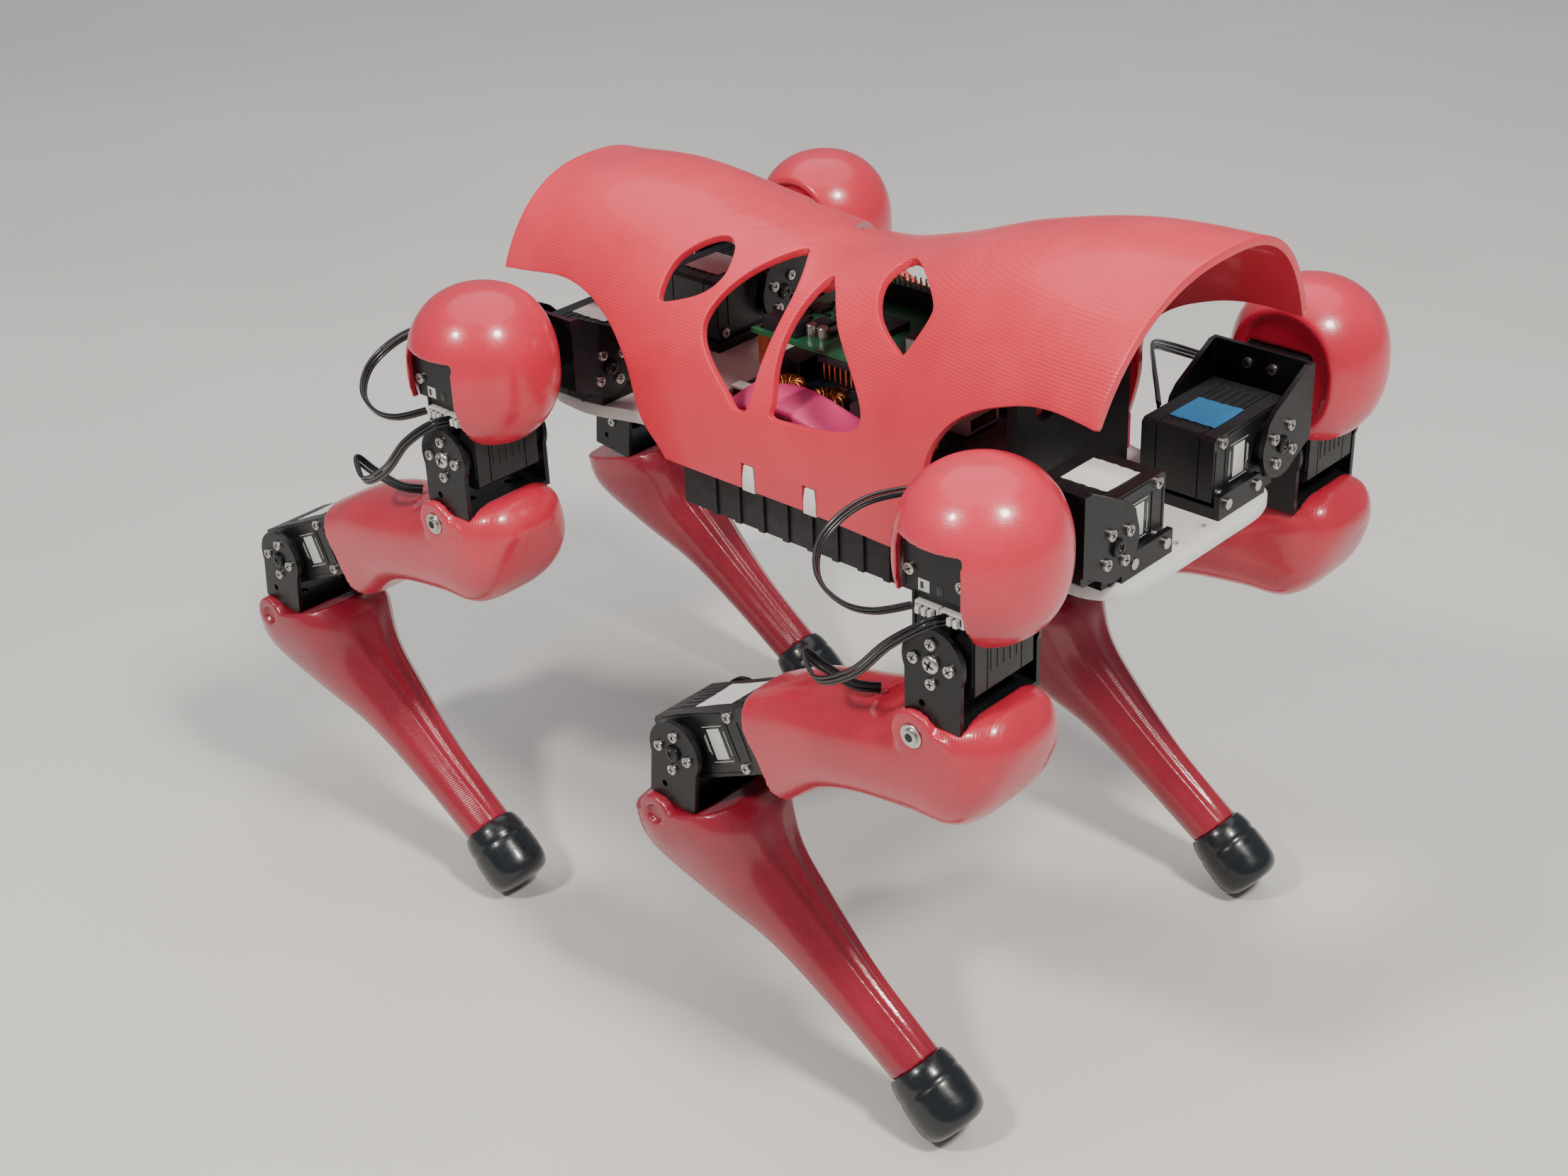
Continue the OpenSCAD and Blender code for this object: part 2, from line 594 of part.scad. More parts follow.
module foot() color([0.04, 0.05, 0.06]) at_knee() translate([foot_x, 0, foot_z])
    rotate([0, 90 + foot_tilt, 0]) rotate_extrude() polygon(concat([[0, 0]], foot_profile, [[0, foot_length]]));

// ---- leads ------------------------------------------------------------

// Tube of diameter d along a smooth route
module lead(route, d, rings) {
    n = len(route) - 1;
    sides = 8;
    at = [for (i = [0 : rings - 1]) catmull(route, i * n / (rings - 1))];
    points = [for (i = [0 : rings - 1])
        let (a = at[max(i - 1, 0)], b = at[min(i + 1, rings - 1)], v = (b - a) / norm(b - a),
            s = cross(v, [0.31, 0.9, 0.29]), u = s / norm(s), w = cross(v, u))
        for (j = [0 : sides - 1]) at[i] + d / 2 * (u * cos(360 * j / sides) + w * sin(360 * j / sides))];
    color([0.04, 0.04, 0.05]) polyhedron(points, tube_faces(rings, sides), convexity = 6);
}

// From the chassis, close to the roll axis, round behind the cap to the hip servo's face
hip_route = [[-26, -6, 4], [-34, 4, 6], [-45, 18, 7], [-56, 34, 5], [-59, 50, -2], [-51, 62, -8],
    [-36, 68, -10], [-22, 69, -8], [-9.5, 64.5, -3.5]];
// From the hip servo's face back over the thigh and into its lead arch
knee_route = [[4, 64.5, -3], [0, 71, -4], [-11, 75, -13], [-25, 75, -28], [-42, 73, -38], [-52, 68, -34],
    [-48, 64, -39], [-38, 60, -44], [-32, 54, -46]];

// ---- the four legs ----------------------------------------------------

module roll_servo() rotate([0, 90, 0]) rotate([0, 0, 90]) servo();

module pitch_servo_up() at_hip() pitch_servo() rotate([0, 0, 180]) servo();

module fr_shoulder_servo() at_leg(1, -1) roll_servo();
module fr_shoulder_bracket() at_leg(1, -1) shoulder_bracket();
module fr_shoulder_cap() at_leg(1, -1) shoulder_cap();
module fr_hip_servo() at_leg(1, -1) pitch_servo_up();
module fr_hip_bracket() at_leg(1, -1) hip_bracket();
module fr_thigh() at_leg(1, -1) thigh();
module fr_knee_servo() at_leg(1, -1) knee_servo();
module fr_knee_bracket() at_leg(1, -1) knee_bracket();
module fr_shin() at_leg(1, -1) shin();
module fr_foot() at_leg(1, -1) foot();
module fr_hip_lead() at_leg(1, -1) lead(hip_route, 4, 26);
module fr_knee_lead() at_leg(1, -1) lead(knee_route, 4, 24);
module fl_shoulder_servo() at_leg(1, 1) roll_servo();
module fl_shoulder_bracket() at_leg(1, 1) shoulder_bracket();
module fl_shoulder_cap() at_leg(1, 1) shoulder_cap();
module fl_hip_servo() at_leg(1, 1) pitch_servo_up();
module fl_hip_bracket() at_leg(1, 1) hip_bracket();
module fl_thigh() at_leg(1, 1) thigh();
module fl_knee_servo() at_leg(1, 1) knee_servo();
module fl_knee_bracket() at_leg(1, 1) knee_bracket();
module fl_shin() at_leg(1, 1) shin();
module fl_foot() at_leg(1, 1) foot();
module fl_hip_lead() at_leg(1, 1) lead(hip_route, 4, 26);
module fl_knee_lead() at_leg(1, 1) lead(knee_route, 4, 24);
module rr_shoulder_servo() at_leg(-1, -1) roll_servo();
module rr_shoulder_bracket() at_leg(-1, -1) shoulder_bracket();
module rr_shoulder_cap() at_leg(-1, -1) shoulder_cap();
module rr_hip_servo() at_leg(-1, -1) pitch_servo_up();
module rr_hip_bracket() at_leg(-1, -1) hip_bracket();
module rr_thigh() at_leg(-1, -1) thigh();
module rr_knee_servo() at_leg(-1, -1) knee_servo();
module rr_knee_bracket() at_leg(-1, -1) knee_bracket();
module rr_shin() at_leg(-1, -1) shin();
module rr_foot() at_leg(-1, -1) foot();
module rr_hip_lead() at_leg(-1, -1) lead(hip_route, 4, 26);
module rr_knee_lead() at_leg(-1, -1) lead(knee_route, 4, 24);
module rl_shoulder_servo() at_leg(-1, 1) roll_servo();
module rl_shoulder_bracket() at_leg(-1, 1) shoulder_bracket();
module rl_shoulder_cap() at_leg(-1, 1) shoulder_cap();
module rl_hip_servo() at_leg(-1, 1) pitch_servo_up();
module rl_hip_bracket() at_leg(-1, 1) hip_bracket();
module rl_thigh() at_leg(-1, 1) thigh();
module rl_knee_servo() at_leg(-1, 1) knee_servo();
module rl_knee_bracket() at_leg(-1, 1) knee_bracket();
module rl_shin() at_leg(-1, 1) shin();
module rl_foot() at_leg(-1, 1) foot();
module rl_hip_lead() at_leg(-1, 1) lead(hip_route, 4, 26);
module rl_knee_lead() at_leg(-1, 1) lead(knee_route, 4, 24);

chassis_plate();
back_shell();
battery_case();
battery_cells();
electronics_tray();
computer_board();
driver_board();
front_panel();
servo_cradles();
chassis_screws();
fr_shoulder_servo();
fr_shoulder_bracket();
fr_shoulder_cap();
fr_hip_servo();
fr_hip_bracket();
fr_thigh();
fr_knee_servo();
fr_knee_bracket();
fr_shin();
fr_foot();
fr_hip_lead();
fr_knee_lead();
fl_shoulder_servo();
fl_shoulder_bracket();
fl_shoulder_cap();
fl_hip_servo();
fl_hip_bracket();
fl_thigh();
fl_knee_servo();
fl_knee_bracket();
fl_shin();
fl_foot();
fl_hip_lead();
fl_knee_lead();
rr_shoulder_servo();
rr_shoulder_bracket();
rr_shoulder_cap();
rr_hip_servo();
rr_hip_bracket();
rr_thigh();
rr_knee_servo();
rr_knee_bracket();
rr_shin();
rr_foot();
rr_hip_lead();
rr_knee_lead();
rl_shoulder_servo();
rl_shoulder_bracket();
rl_shoulder_cap();
rl_hip_servo();
rl_hip_bracket();
rl_thigh();
rl_knee_servo();
rl_knee_bracket();
rl_shin();
rl_foot();
rl_hip_lead();
rl_knee_lead();
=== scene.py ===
"""Visual model of the quadruped robot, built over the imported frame.

Sizes are in millimetres in the helpers and become metres when a mesh is made.
A leg is drawn at its roll axis with +Y outboard, as in the CAD source.
"""
import math
import random

import bmesh
import bpy
import numpy as np
from mathutils import Matrix, Vector
from mathutils.geometry import delaunay_2d_cdt


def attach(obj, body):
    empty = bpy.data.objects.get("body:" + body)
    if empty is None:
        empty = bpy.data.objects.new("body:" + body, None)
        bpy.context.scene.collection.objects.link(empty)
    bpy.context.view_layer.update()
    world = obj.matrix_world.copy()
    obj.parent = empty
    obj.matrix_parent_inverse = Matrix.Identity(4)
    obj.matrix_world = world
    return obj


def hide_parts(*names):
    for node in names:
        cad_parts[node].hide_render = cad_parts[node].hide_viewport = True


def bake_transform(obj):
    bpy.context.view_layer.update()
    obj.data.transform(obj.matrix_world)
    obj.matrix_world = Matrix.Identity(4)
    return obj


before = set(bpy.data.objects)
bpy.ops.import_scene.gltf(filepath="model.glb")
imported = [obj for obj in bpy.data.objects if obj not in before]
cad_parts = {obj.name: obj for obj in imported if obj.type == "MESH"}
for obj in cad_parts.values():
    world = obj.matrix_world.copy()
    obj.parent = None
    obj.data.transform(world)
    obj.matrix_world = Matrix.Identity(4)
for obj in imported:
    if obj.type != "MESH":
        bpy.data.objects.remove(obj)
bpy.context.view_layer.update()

MM = 0.001

# ---- driving dimensions, as in the CAD source ----
CENTRE_X = 58.36       # middle of the wheelbase, from the origin
HIP_X = 115.0
ROLL_Y = 48.0
ROLL_Z = 228.0
HIP_DROP = 19.0
LEG_MID = 47.0
THIGH_LENGTH = 143
THIGH_FALL = math.radians(34.5)     # slope of the line from hip to knee
KNEE_X = -THIGH_LENGTH * math.cos(THIGH_FALL)
KNEE_Z = -THIGH_LENGTH * math.sin(THIGH_FALL)
KNEE_TILT = 25
HALF_W = 12.35         # half of a servo's width
HALF_D = 14.5          # half of its depth, along its axis
FAR_END = 33.9         # servo axis to its far end
EAR_OUT = 20.1         # servo middle to the outer face of a bracket's ear
PLATE_TOP = 211.45
PLATE_LOW = 205.95
COMPUTER_Z = PLATE_TOP + 38 + 0.02     # underside of the computer board
DRIVER_Z = PLATE_TOP + 12              # underside of the driver board
BOARD_THICK = 1.6
HERE = Matrix()
LEGS = {"fr": (1, -1), "fl": (1, 1), "rr": (-1, -1), "rl": (-1, 1)}


# ---- materials ----

class Shader:
    """A Principled material, with short calls for the nodes that feed it."""

    def __init__(self, name):
        self.mat = bpy.data.materials.new(name)
        self.mat.use_nodes = True
        self.nodes, self.links = self.mat.node_tree.nodes, self.mat.node_tree.links
        self.inputs = self.nodes["Principled BSDF"].inputs
        self.coord = self.nodes.new("ShaderNodeTexCoord").outputs["Object"]

    def node(self, kind, values):
        """A new node, each input linked to a socket or set to a value."""
        node = self.nodes.new("ShaderNode" + kind)
        for key, value in values.items():
            if isinstance(value, bpy.types.NodeSocket):
                self.links.new(value, node.inputs[key])
            else:
                node.inputs[key].default_value = value
        return node

    def noise(self, scale, detail, rough=0.55):
        return self.node("TexNoise", {"Vector": self.coord, "Scale": scale, "Detail": detail,
                                      "Roughness": rough}).outputs["Fac"]

    def ramp(self, fac, *stops):
        node = self.node("ValToRGB", {"Fac": fac})
        elements = node.color_ramp.elements
        while len(elements) < len(stops):
            elements.new(0.5)
        for element, (place, colour) in zip(elements, stops):
            element.position = place
            element.color = (*colour, 1)
        return node.outputs[0]

    def math(self, kind, a, b=0):
        node = self.node("Math", {0: a, 1: b})
        node.operation = kind
        return node.outputs[0]

    def bump(self, height, strength, distance, after=None):
        values = {"Strength": strength, "Distance": distance, "Height": height}
        if after is not None:
            values["Normal"] = after
        out = self.node("Bump", values).outputs[0]
        self.links.new(out, self.inputs["Normal"])
        return out

    def done(self, colour, noise, smooth, rough, values):
        """Links the colour, lets the roughness follow the noise, and sets the even values."""
        self.links.new(colour, self.inputs["Base Color"])
        gloss = self.ramp(noise, (0.3, (smooth,) * 3), (0.7, (rough,) * 3))
        self.links.new(gloss, self.inputs["Roughness"])
        for key, value in values.items():
            self.inputs[key].default_value = value
        return self.mat


def lacquered_print(name, deep, base, pale, layer_mm, rough, axis=(0, 0, 1), coat=0.5,
                    step=0.1, grain=0.16):
    """Glossy lacquer over a layered print: fine steps along axis, flecks and slight colour drift."""
    shader = Shader(name)
    layer = layer_mm * MM
    colour = shader.ramp(shader.noise(22, 3), (0.25, deep), (0.5, base), (0.8, pale))
    # wavy print layers, plainer in some places than in others
    dot = shader.node("VectorMath", {0: shader.coord, 1: axis})
    dot.operation = "DOT_PRODUCT"
    warp = shader.math("MULTIPLY", shader.noise(14, 3), 3.0 * layer)
    level = shader.math("ADD", dot.outputs["Value"], warp)
    wave = shader.math("SINE", shader.math("MULTIPLY", level, 2 * math.pi / layer))
    patches = shader.ramp(shader.noise(30, 2), (0.35, (0, 0, 0)), (0.65, (1, 1, 1)))
    fleck = shader.noise(900, 2, 0.6)
    first = shader.bump(shader.math("MULTIPLY", wave, patches), step, 0.4 * MM)
    second = shader.bump(fleck, grain, 0.3 * MM, first)
    shader.bump(shader.noise(45, 2), 0.3, 1.2 * MM, second)
    return shader.done(colour, fleck, rough - 0.05, rough + 0.07, {
        "Coat Weight": coat, "Coat Roughness": 0.1, "Subsurface Weight": 0.03,
        "Subsurface Radius": (0.004, 0.001, 0.001)})


def plain(name, base, rough, metal=0.0, grain=300, grain_bump=0.12, vary=0.25, coat=0.0):
    """Moulded or coated surface with a fine grain and slight wear in its gloss."""
    shader = Shader(name)
    low = tuple(c * (1 - vary) for c in base)
    high = tuple(min(1, c * (1 + vary)) for c in base)
    colour = shader.ramp(shader.noise(35, 3), (0.3, low), (0.7, high))
    fine = shader.noise(grain, 4, 0.65)
    shader.bump(fine, grain_bump, 0.3 * MM)
    return shader.done(colour, fine, max(0.02, rough - 0.08), min(1, rough + 0.1),
                       {"Metallic": metal, "Coat Weight": coat})


M = {
    "coral": lacquered_print("coral_lacquer", (0.64, 0.020, 0.046), (0.73, 0.030, 0.060),
                             (0.80, 0.046, 0.085), 1.1, 0.36, coat=0.3, step=0.13),
    "cap": lacquered_print("cap_lacquer", (0.54, 0.016, 0.044), (0.63, 0.024, 0.056),
                           (0.70, 0.036, 0.074), 0.9, 0.30, coat=0.5, step=0.012, grain=0.1),
    "thigh": lacquered_print("thigh_lacquer", (0.46, 0.016, 0.040), (0.54, 0.022, 0.050),
                             (0.61, 0.036, 0.066), 1.0, 0.30, (0.90, 0, 0.43), grain=0.07),
    "crimson": lacquered_print("crimson_lacquer", (0.25, 0.010, 0.026), (0.31, 0.015, 0.034),
                               (0.37, 0.024, 0.048), 0.9, 0.26, (0.64, 0, -0.77), step=0.12, grain=0.05),
    "pink": lacquered_print("pink_print", (0.500, 0.020, 0.124), (0.660, 0.040, 0.174),
                            (0.740, 0.080, 0.223), 0.7, 0.4, coat=0.1),
    "white": plain("white_print", (0.80, 0.80, 0.77), 0.42, vary=0.04),
    "servo": plain("servo_black", (0.012, 0.012, 0.014), 0.38, grain=900, grain_bump=0.2),
    "bracket": plain("bracket_black", (0.011, 0.011, 0.013), 0.32, metal=0.3, grain=700),
    "matt_black": plain("matt_black", (0.014, 0.014, 0.017), 0.5),
    "steel": plain("screw_steel", (0.56, 0.54, 0.50), 0.28, metal=1.0, grain=1500, vary=0.12),
    "brass": plain("brass_pins", (0.75, 0.55, 0.25), 0.3, metal=1.0),
    "rubber": plain("foot_rubber", (0.008, 0.011, 0.014), 0.27, grain=250, grain_bump=0.18, coat=0.35),
    "lead": plain("lead_black", (0.008, 0.008, 0.01), 0.3, grain=500, coat=0.3),
    "label": plain("label_grey", (0.62, 0.62, 0.60), 0.45, vary=0.06),
    "label_dark": plain("label_dark", (0.02, 0.02, 0.022), 0.25),
    # steel darkened to a dull grey, which keeps the ports and metal chips dim: painted shade
    "port": plain("port_metal_shade_darkened", (0.20, 0.20, 0.20), 0.35, metal=1.0, grain=900, vary=0.2),
    "board_black": plain("board_black", (0.012, 0.014, 0.02), 0.3),
    "paper": plain("paper_tape", (0.72, 0.74, 0.72), 0.55, grain=260, grain_bump=0.35, vary=0.06),
    "blue": plain("blue_tape", (0.03, 0.19, 0.42), 0.5, grain=260, grain_bump=0.4, vary=0.12),
    "connector": plain("connector_white", (0.78, 0.78, 0.74), 0.4, vary=0.05),
    "green": plain("solder_green", (0.015, 0.12, 0.05), 0.35, vary=0.35),
    "copper": plain("copper_wire", (0.62, 0.24, 0.09), 0.3, metal=1.0, grain=2500, grain_bump=0.5),
    "cell": plain("cell_wrap", (0.02, 0.07, 0.25), 0.3, vary=0.1),
    # near-black for screw recesses, hex sockets, connector mouths and port openings: painted shade of hollows
    # that are not cut
    "recess": plain("recess_painted_shade", (0.01, 0.01, 0.01), 0.6),
    "red_lamp": plain("red_lamp", (0.6, 0.02, 0.02), 0.25),
    "green_lamp": plain("green_lamp", (0.08, 0.6, 0.1), 0.25),
}


# ---- curves and surfaces ----

def catmull(p, t):
    n = len(p) - 1
    i = min(int(math.floor(t)), n - 1)
    f = t - i
    a, b, c, d = p[max(i - 1, 0)], p[i], p[i + 1], p[min(i + 2, n)]
    if isinstance(b, (int, float)):
        a, b, c, d = ((v,) for v in (a, b, c, d))
    out = tuple(0.5 * (2 * v1 + (v2 - v0) * f + (2 * v0 - 5 * v1 + 4 * v2 - v3) * f * f
                       + (3 * v1 - v0 - 3 * v2 + v3) * f ** 3) for v0, v1, v2, v3 in zip(a, b, c, d))
    return out[0] if len(out) == 1 else out


def closed_curve(p, steps):
    n = len(p)
    out = []
    for i in range(n):
        ring = [p[(i + k - 1) % n] for k in range(4)]
        out += [catmull(ring, 1 + s / steps) for s in range(steps)]
    return out


def superellipse(a, rx, ry, n):
    c, s = math.cos(a), math.sin(a)
    return (math.copysign(rx * abs(c) ** (2 / n), c), math.copysign(ry * abs(s) ** (2 / n), s))


def turns(count):
    """Evenly spaced angles once round."""
    return [2 * math.pi * k / count for k in range(count)]


def ring_round(bm, centre, u, w, radius, sides):
    """Vertices of a circle about centre, in the plane of u and w."""
    return [bm.verts.new(centre + radius * (u * math.cos(a) + w * math.sin(a))) for a in turns(sides)]


def bridge(bm, loops, closed=False):
    """Skin over rings of vertices; an open run gets its two end faces."""
    for a, b in zip(loops, loops[1:] + (loops[:1] if closed else [])):
        for j in range(len(a)):
            k = (j + 1) % len(a)
            bm.faces.new((a[j], a[k], b[k], b[j]))
    if not closed:
        bm.faces.new(loops[0][::-1])
        bm.faces.new(loops[-1])


def box_place(low, high):
    """Matrix that takes a unit cube to the box."""
    size = [h - l for l, h in zip(low, high)]
    return shift(*((h + l) / 2 for l, h in zip(low, high))) @ Matrix.Diagonal((*size, 1))


# ---- making objects ----

def leg_matrix(leg):
    """Takes leg millimetres to row metres, mirrored for a right leg."""
    front, side = LEGS[leg]
    move = Matrix.Translation(((CENTRE_X + front * HIP_X) * MM, side * ROLL_Y * MM, ROLL_Z * MM))
    return move @ Matrix.Diagonal((MM, side * MM, MM, 1))


ROW = Matrix.Diagonal((MM, MM, MM, 1)) @ Matrix.Translation((CENTRE_X, 0, 0))
HIP = Matrix.Translation((0, LEG_MID, -HIP_DROP))
KNEE = Matrix.Translation((KNEE_X, LEG_MID, KNEE_Z - HIP_DROP))
PITCH = Matrix.Rotation(math.radians(90), 4, "X") @ Matrix.Rotation(math.radians(90), 4, "Z")


def spin(deg, axis="Z"):
    return Matrix.Rotation(math.radians(deg), 4, axis)


def shift(x, y, z):
    return Matrix.Translation((x, y, z))


ROLL_SERVO = spin(90, "Y") @ spin(90)
HIP_SERVO = HIP @ PITCH @ spin(180)
KNEE_SERVO = KNEE @ PITCH @ spin(90 + KNEE_TILT)
HIP_BRACKET = HIP @ PITCH
KNEE_BRACKET = KNEE @ PITCH @ spin(-6)


def finish_piece(obj, body):
    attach(obj, body)


def make_object(name, bm, mats, smooth_deg=40):
    bmesh.ops.recalc_face_normals(bm, faces=bm.faces)
    mesh = bpy.data.meshes.new(name)
    bm.to_mesh(mesh)
    bm.free()
    for mat in mats:
        mesh.materials.append(M[mat])
    obj = bpy.data.objects.new(name, mesh)
    bpy.context.scene.collection.objects.link(obj)
    if smooth_deg:
        mesh.shade_smooth()
        mesh.set_sharp_from_angle(angle=math.radians(smooth_deg))
    return obj


def apply_modifiers(obj):
    deps = bpy.context.evaluated_depsgraph_get()
    mesh = bpy.data.meshes.new_from_object(obj.evaluated_get(deps))
    old = obj.data
    obj.modifiers.clear()
    obj.data = mesh
    bpy.data.meshes.remove(old)


def copy_through(source, name, matrix):
    """Copy of a mesh carried through a matrix, with its faces turned if that mirrors it."""
    mesh = source.data.copy()
    mesh.transform(matrix)
    if matrix.determinant() < 0:
        mesh.flip_normals()
    mesh.name = name
    obj = bpy.data.objects.new(name, mesh)
    bpy.context.scene.collection.objects.link(obj)
    return obj


class Build:
    """Collects boxes, lathes and prisms in one mesh, each in its own material slot."""

    def __init__(self):
        self.bm = bmesh.new()
        self.mats = []

    def slot(self, mat):
        if mat not in self.mats:
            self.mats.append(mat)
        return self.mats.index(mat)

    def add(self, part, matrix, mat, bevel=0.0, segments=2):
        if bevel:
            bmesh.ops.recalc_face_normals(part, faces=part.faces)
            sharp = [e for e in part.edges if len(e.link_faces) == 2 and e.calc_face_angle(0) > 0.6]
            bmesh.ops.bevel(part, geom=sharp, offset=bevel, segments=segments, profile=0.5,
                            affect="EDGES", clamp_overlap=True)
        index = self.slot(mat)
        for face in part.faces:
            face.material_index = index
            face.smooth = True
        part.transform(matrix)
        mesh = bpy.data.meshes.new("part")
        part.to_mesh(mesh)
        part.free()
        self.bm.from_mesh(mesh)
        bpy.data.meshes.remove(mesh)

    def box(self, low, high, matrix, mat, bevel=0.3, segments=2):
        part = bmesh.new()
        bmesh.ops.create_cube(part, size=1)
        part.transform(box_place(low, high))
        self.add(part, matrix, mat, bevel, segments)

    def lathe(self, profile, matrix, mat, sides=32):
        """Profile points are (radius, height); the axis is Z."""
        part = bmesh.new()
        rings = []
        for r, h in profile:
            spots = [(r * math.cos(a), r * math.sin(a), h) for a in turns(sides)] if r > 1e-6 else [(0, 0, h)]
            rings.append([part.verts.new(spot) for spot in spots])
        for a, b in zip(rings, rings[1:]):
            for k in range(sides):
                k2 = (k + 1) % sides
                if len(a) == 1 and len(b) > 1:
                    part.faces.new((a[0], b[k], b[k2]))
                elif len(b) == 1 and len(a) > 1:
                    part.faces.new((a[k], b[0], a[k2]))
                elif len(a) > 1:
                    part.faces.new((a[k], b[k], b[k2], a[k2]))
        for ring in (rings[0][::-1], rings[-1]):
            if len(ring) > 1:
                part.faces.new(ring)
        self.add(part, matrix, mat)

    def prism(self, outline, low, high, matrix, mat, bevel=0.0):
        """Outline in X and Y, extruded along Z."""
        part = bmesh.new()
        face = part.faces.new([part.verts.new((x, y, low)) for x, y in outline])
        made = bmesh.ops.extrude_face_region(part, geom=[face])
        top = [v for v in made["geom"] if isinstance(v, bmesh.types.BMVert)]
        bmesh.ops.translate(part, verts=top, vec=(0, 0, high - low))
        self.add(part, matrix, mat, bevel)

    def screw(self, matrix, slot_turn, radius=2.0, height=1.3):
        """Pan head with its cross recess painted as shade by two near-black boxes, standing on Z = 0."""
        dome = [(0, 0), (1, 0), (1, 0.45), (0.93, 0.75), (0.72, 0.95), (0.45, 1), (0, 1)]
        self.lathe([(r * radius, h * height) for r, h in dome], matrix, "steel", 20)
        arm, half = 0.58 * radius, 0.13 * radius
        # the cross recess is two flat near-black boxes on the dome: painted shade, not a cut
        for turn in (0, 90):
            self.box((-arm, -half, height - 0.12), (arm, half, height + 0.03),
                     matrix @ spin(slot_turn + turn), "recess", 0)

    def done(self, name, matrix, body, slot, smooth_deg=40):
        self.bm.transform(matrix)
        obj = make_object(name, self.bm, self.mats, smooth_deg)
        finish_piece(obj, body)
        return obj


# ---- camera, floor and light ----

CAMERA_AT = (0.55706, -0.580, 0.569)
CAMERA_TURN = (0.763, 0.504, -0.041)     # azimuth, elevation and roll, in radians
CAMERA_LENS = 52.87
WARM, COOL = (1.0, 0.95, 0.88), (0.95, 0.97, 1.0)


def place_camera():
    azimuth, elevation, roll = CAMERA_TURN
    forward = Vector((-math.sin(azimuth) * math.cos(elevation),
                      math.cos(azimuth) * math.cos(elevation), -math.sin(elevation)))
    right = forward.cross(Vector((0, 0, 1))).normalized()
    up = right.cross(forward)
    right, up = (math.cos(roll) * right + math.sin(roll) * up,
                 math.cos(roll) * up - math.sin(roll) * right)
    camera = bpy.data.cameras.new("camera")
    camera.lens = CAMERA_LENS
    camera.sensor_width = 36
    camera.clip_end = 50
    obj = bpy.data.objects.new("camera", camera)
    bpy.context.scene.collection.objects.link(obj)
    turned = Matrix((right, up, -forward)).transposed().to_4x4()
    obj.matrix_world = Matrix.Translation(CAMERA_AT) @ turned
    bpy.context.scene.camera = obj


def area_light(name, place, target, size, power, colour):
    light = bpy.data.lights.new(name, "AREA")
    light.shape = "DISK"
    light.size = size
    light.energy = power
    light.color = colour
    obj = bpy.data.objects.new(name, light)
    bpy.context.scene.collection.objects.link(obj)
    obj.location = place
    obj.rotation_euler = (Vector(target) - Vector(place)).to_track_quat("-Z", "Y").to_euler()


def place_stage():
    shader = Shader("floor_paper")
    tint = shader.ramp(shader.noise(3, 3), (0.3, (0.66, 0.645, 0.61)), (0.7, (0.72, 0.705, 0.67)))
    shader.links.new(tint, shader.inputs["Base Color"])
    shader.bump(shader.noise(900, 3), 0.08, 0.3 * MM)
    shader.inputs["Roughness"].default_value = 0.6
    M["floor"] = shader.mat
    bm = bmesh.new()
    bmesh.ops.create_grid(bm, x_segments=8, y_segments=8, size=6)
    floor = make_object("floor", bm, ["floor"], 0)
    world = bpy.data.worlds.new("studio")
    world.use_nodes = True
    sky = world.node_tree.nodes["Background"].inputs
    sky["Color"].default_value = (0.80, 0.83, 0.88, 1)
    sky["Strength"].default_value = 0.30
    bpy.context.scene.world = world
    area_light("key", (0.95, -0.15, 1.35), (0.0, 0.0, 0.2), 0.26, 21, WARM)
    area_light("left_lamp", (-0.15, -1.1, 1.30), (0.0, 0.0, 0.2), 0.20, 15, WARM)
    area_light("ceiling", (-0.4, 0.4, 2.2), (0.0, 0.0, 0.15), 3.0, 26, COOL)


place_camera()
place_stage()


# ---- leads ----

HIP_ROUTE = [(-26, -6, 4), (-34, 4, 6), (-45, 18, 7), (-56, 34, 5), (-59, 50, -2), (-51, 62, -8),
             (-36, 68, -10), (-22, 69, -8), (-9.5, 64.5, -3.5)]
KNEE_ROUTE = [(4, 64.5, -3), (0, 71, -4), (-11, 75, -13), (-25, 75, -28), (-42, 73, -38), (-52, 68, -34),
              (-48, 64, -39), (-38, 60, -44), (-32, 54, -46)]
WIRE_R = 0.66
WIRE_PITCH = 1.34


def lead_piece(name, leg, route, rings):
    """Three parallel wires along the route, as one mesh in row metres."""
    count = len(route) - 1
    at = [Vector(catmull(route, i * count / (rings - 1))) for i in range(rings)]
    bm = bmesh.new()
    side_dir = None
    frames = []
    for i, p in enumerate(at):
        along = (at[min(i + 1, rings - 1)] - at[max(i - 1, 0)]).normalized()
        if side_dir is None:
            side_dir = along.cross(Vector((0.31, 0.9, 0.29))).normalized()
        side_dir = (side_dir - along * side_dir.dot(along)).normalized()
        frames.append((p, side_dir.copy(), along.cross(side_dir)))
    for wire in (-1, 0, 1):
        loops = []
        for i, (p, u, w) in enumerate(frames):
            turn = 0.6 * 0.9 * math.sin(3.0 * i / rings + wire)
            apart = wire * WIRE_PITCH * (1 + 0.08 * math.sin(9.0 * i / rings + 2 * wire))
            centre = p + apart * (u * math.cos(turn) + w * math.sin(turn))
            loops.append(ring_round(bm, centre, u, w, WIRE_R, 10))
        bridge(bm, loops)
    matrix = leg_matrix(leg)
    bm.transform(matrix)
    obj = make_object(name, bm, ["lead"], 60)
    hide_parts(name.replace("_wires", ""))
    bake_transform(obj)


for leg in LEGS:
    lead_piece(leg + "_hip_lead_wires", leg, HIP_ROUTE, 72)
    lead_piece(leg + "_knee_lead_wires", leg, KNEE_ROUTE, 64)


# ---- back shell ----

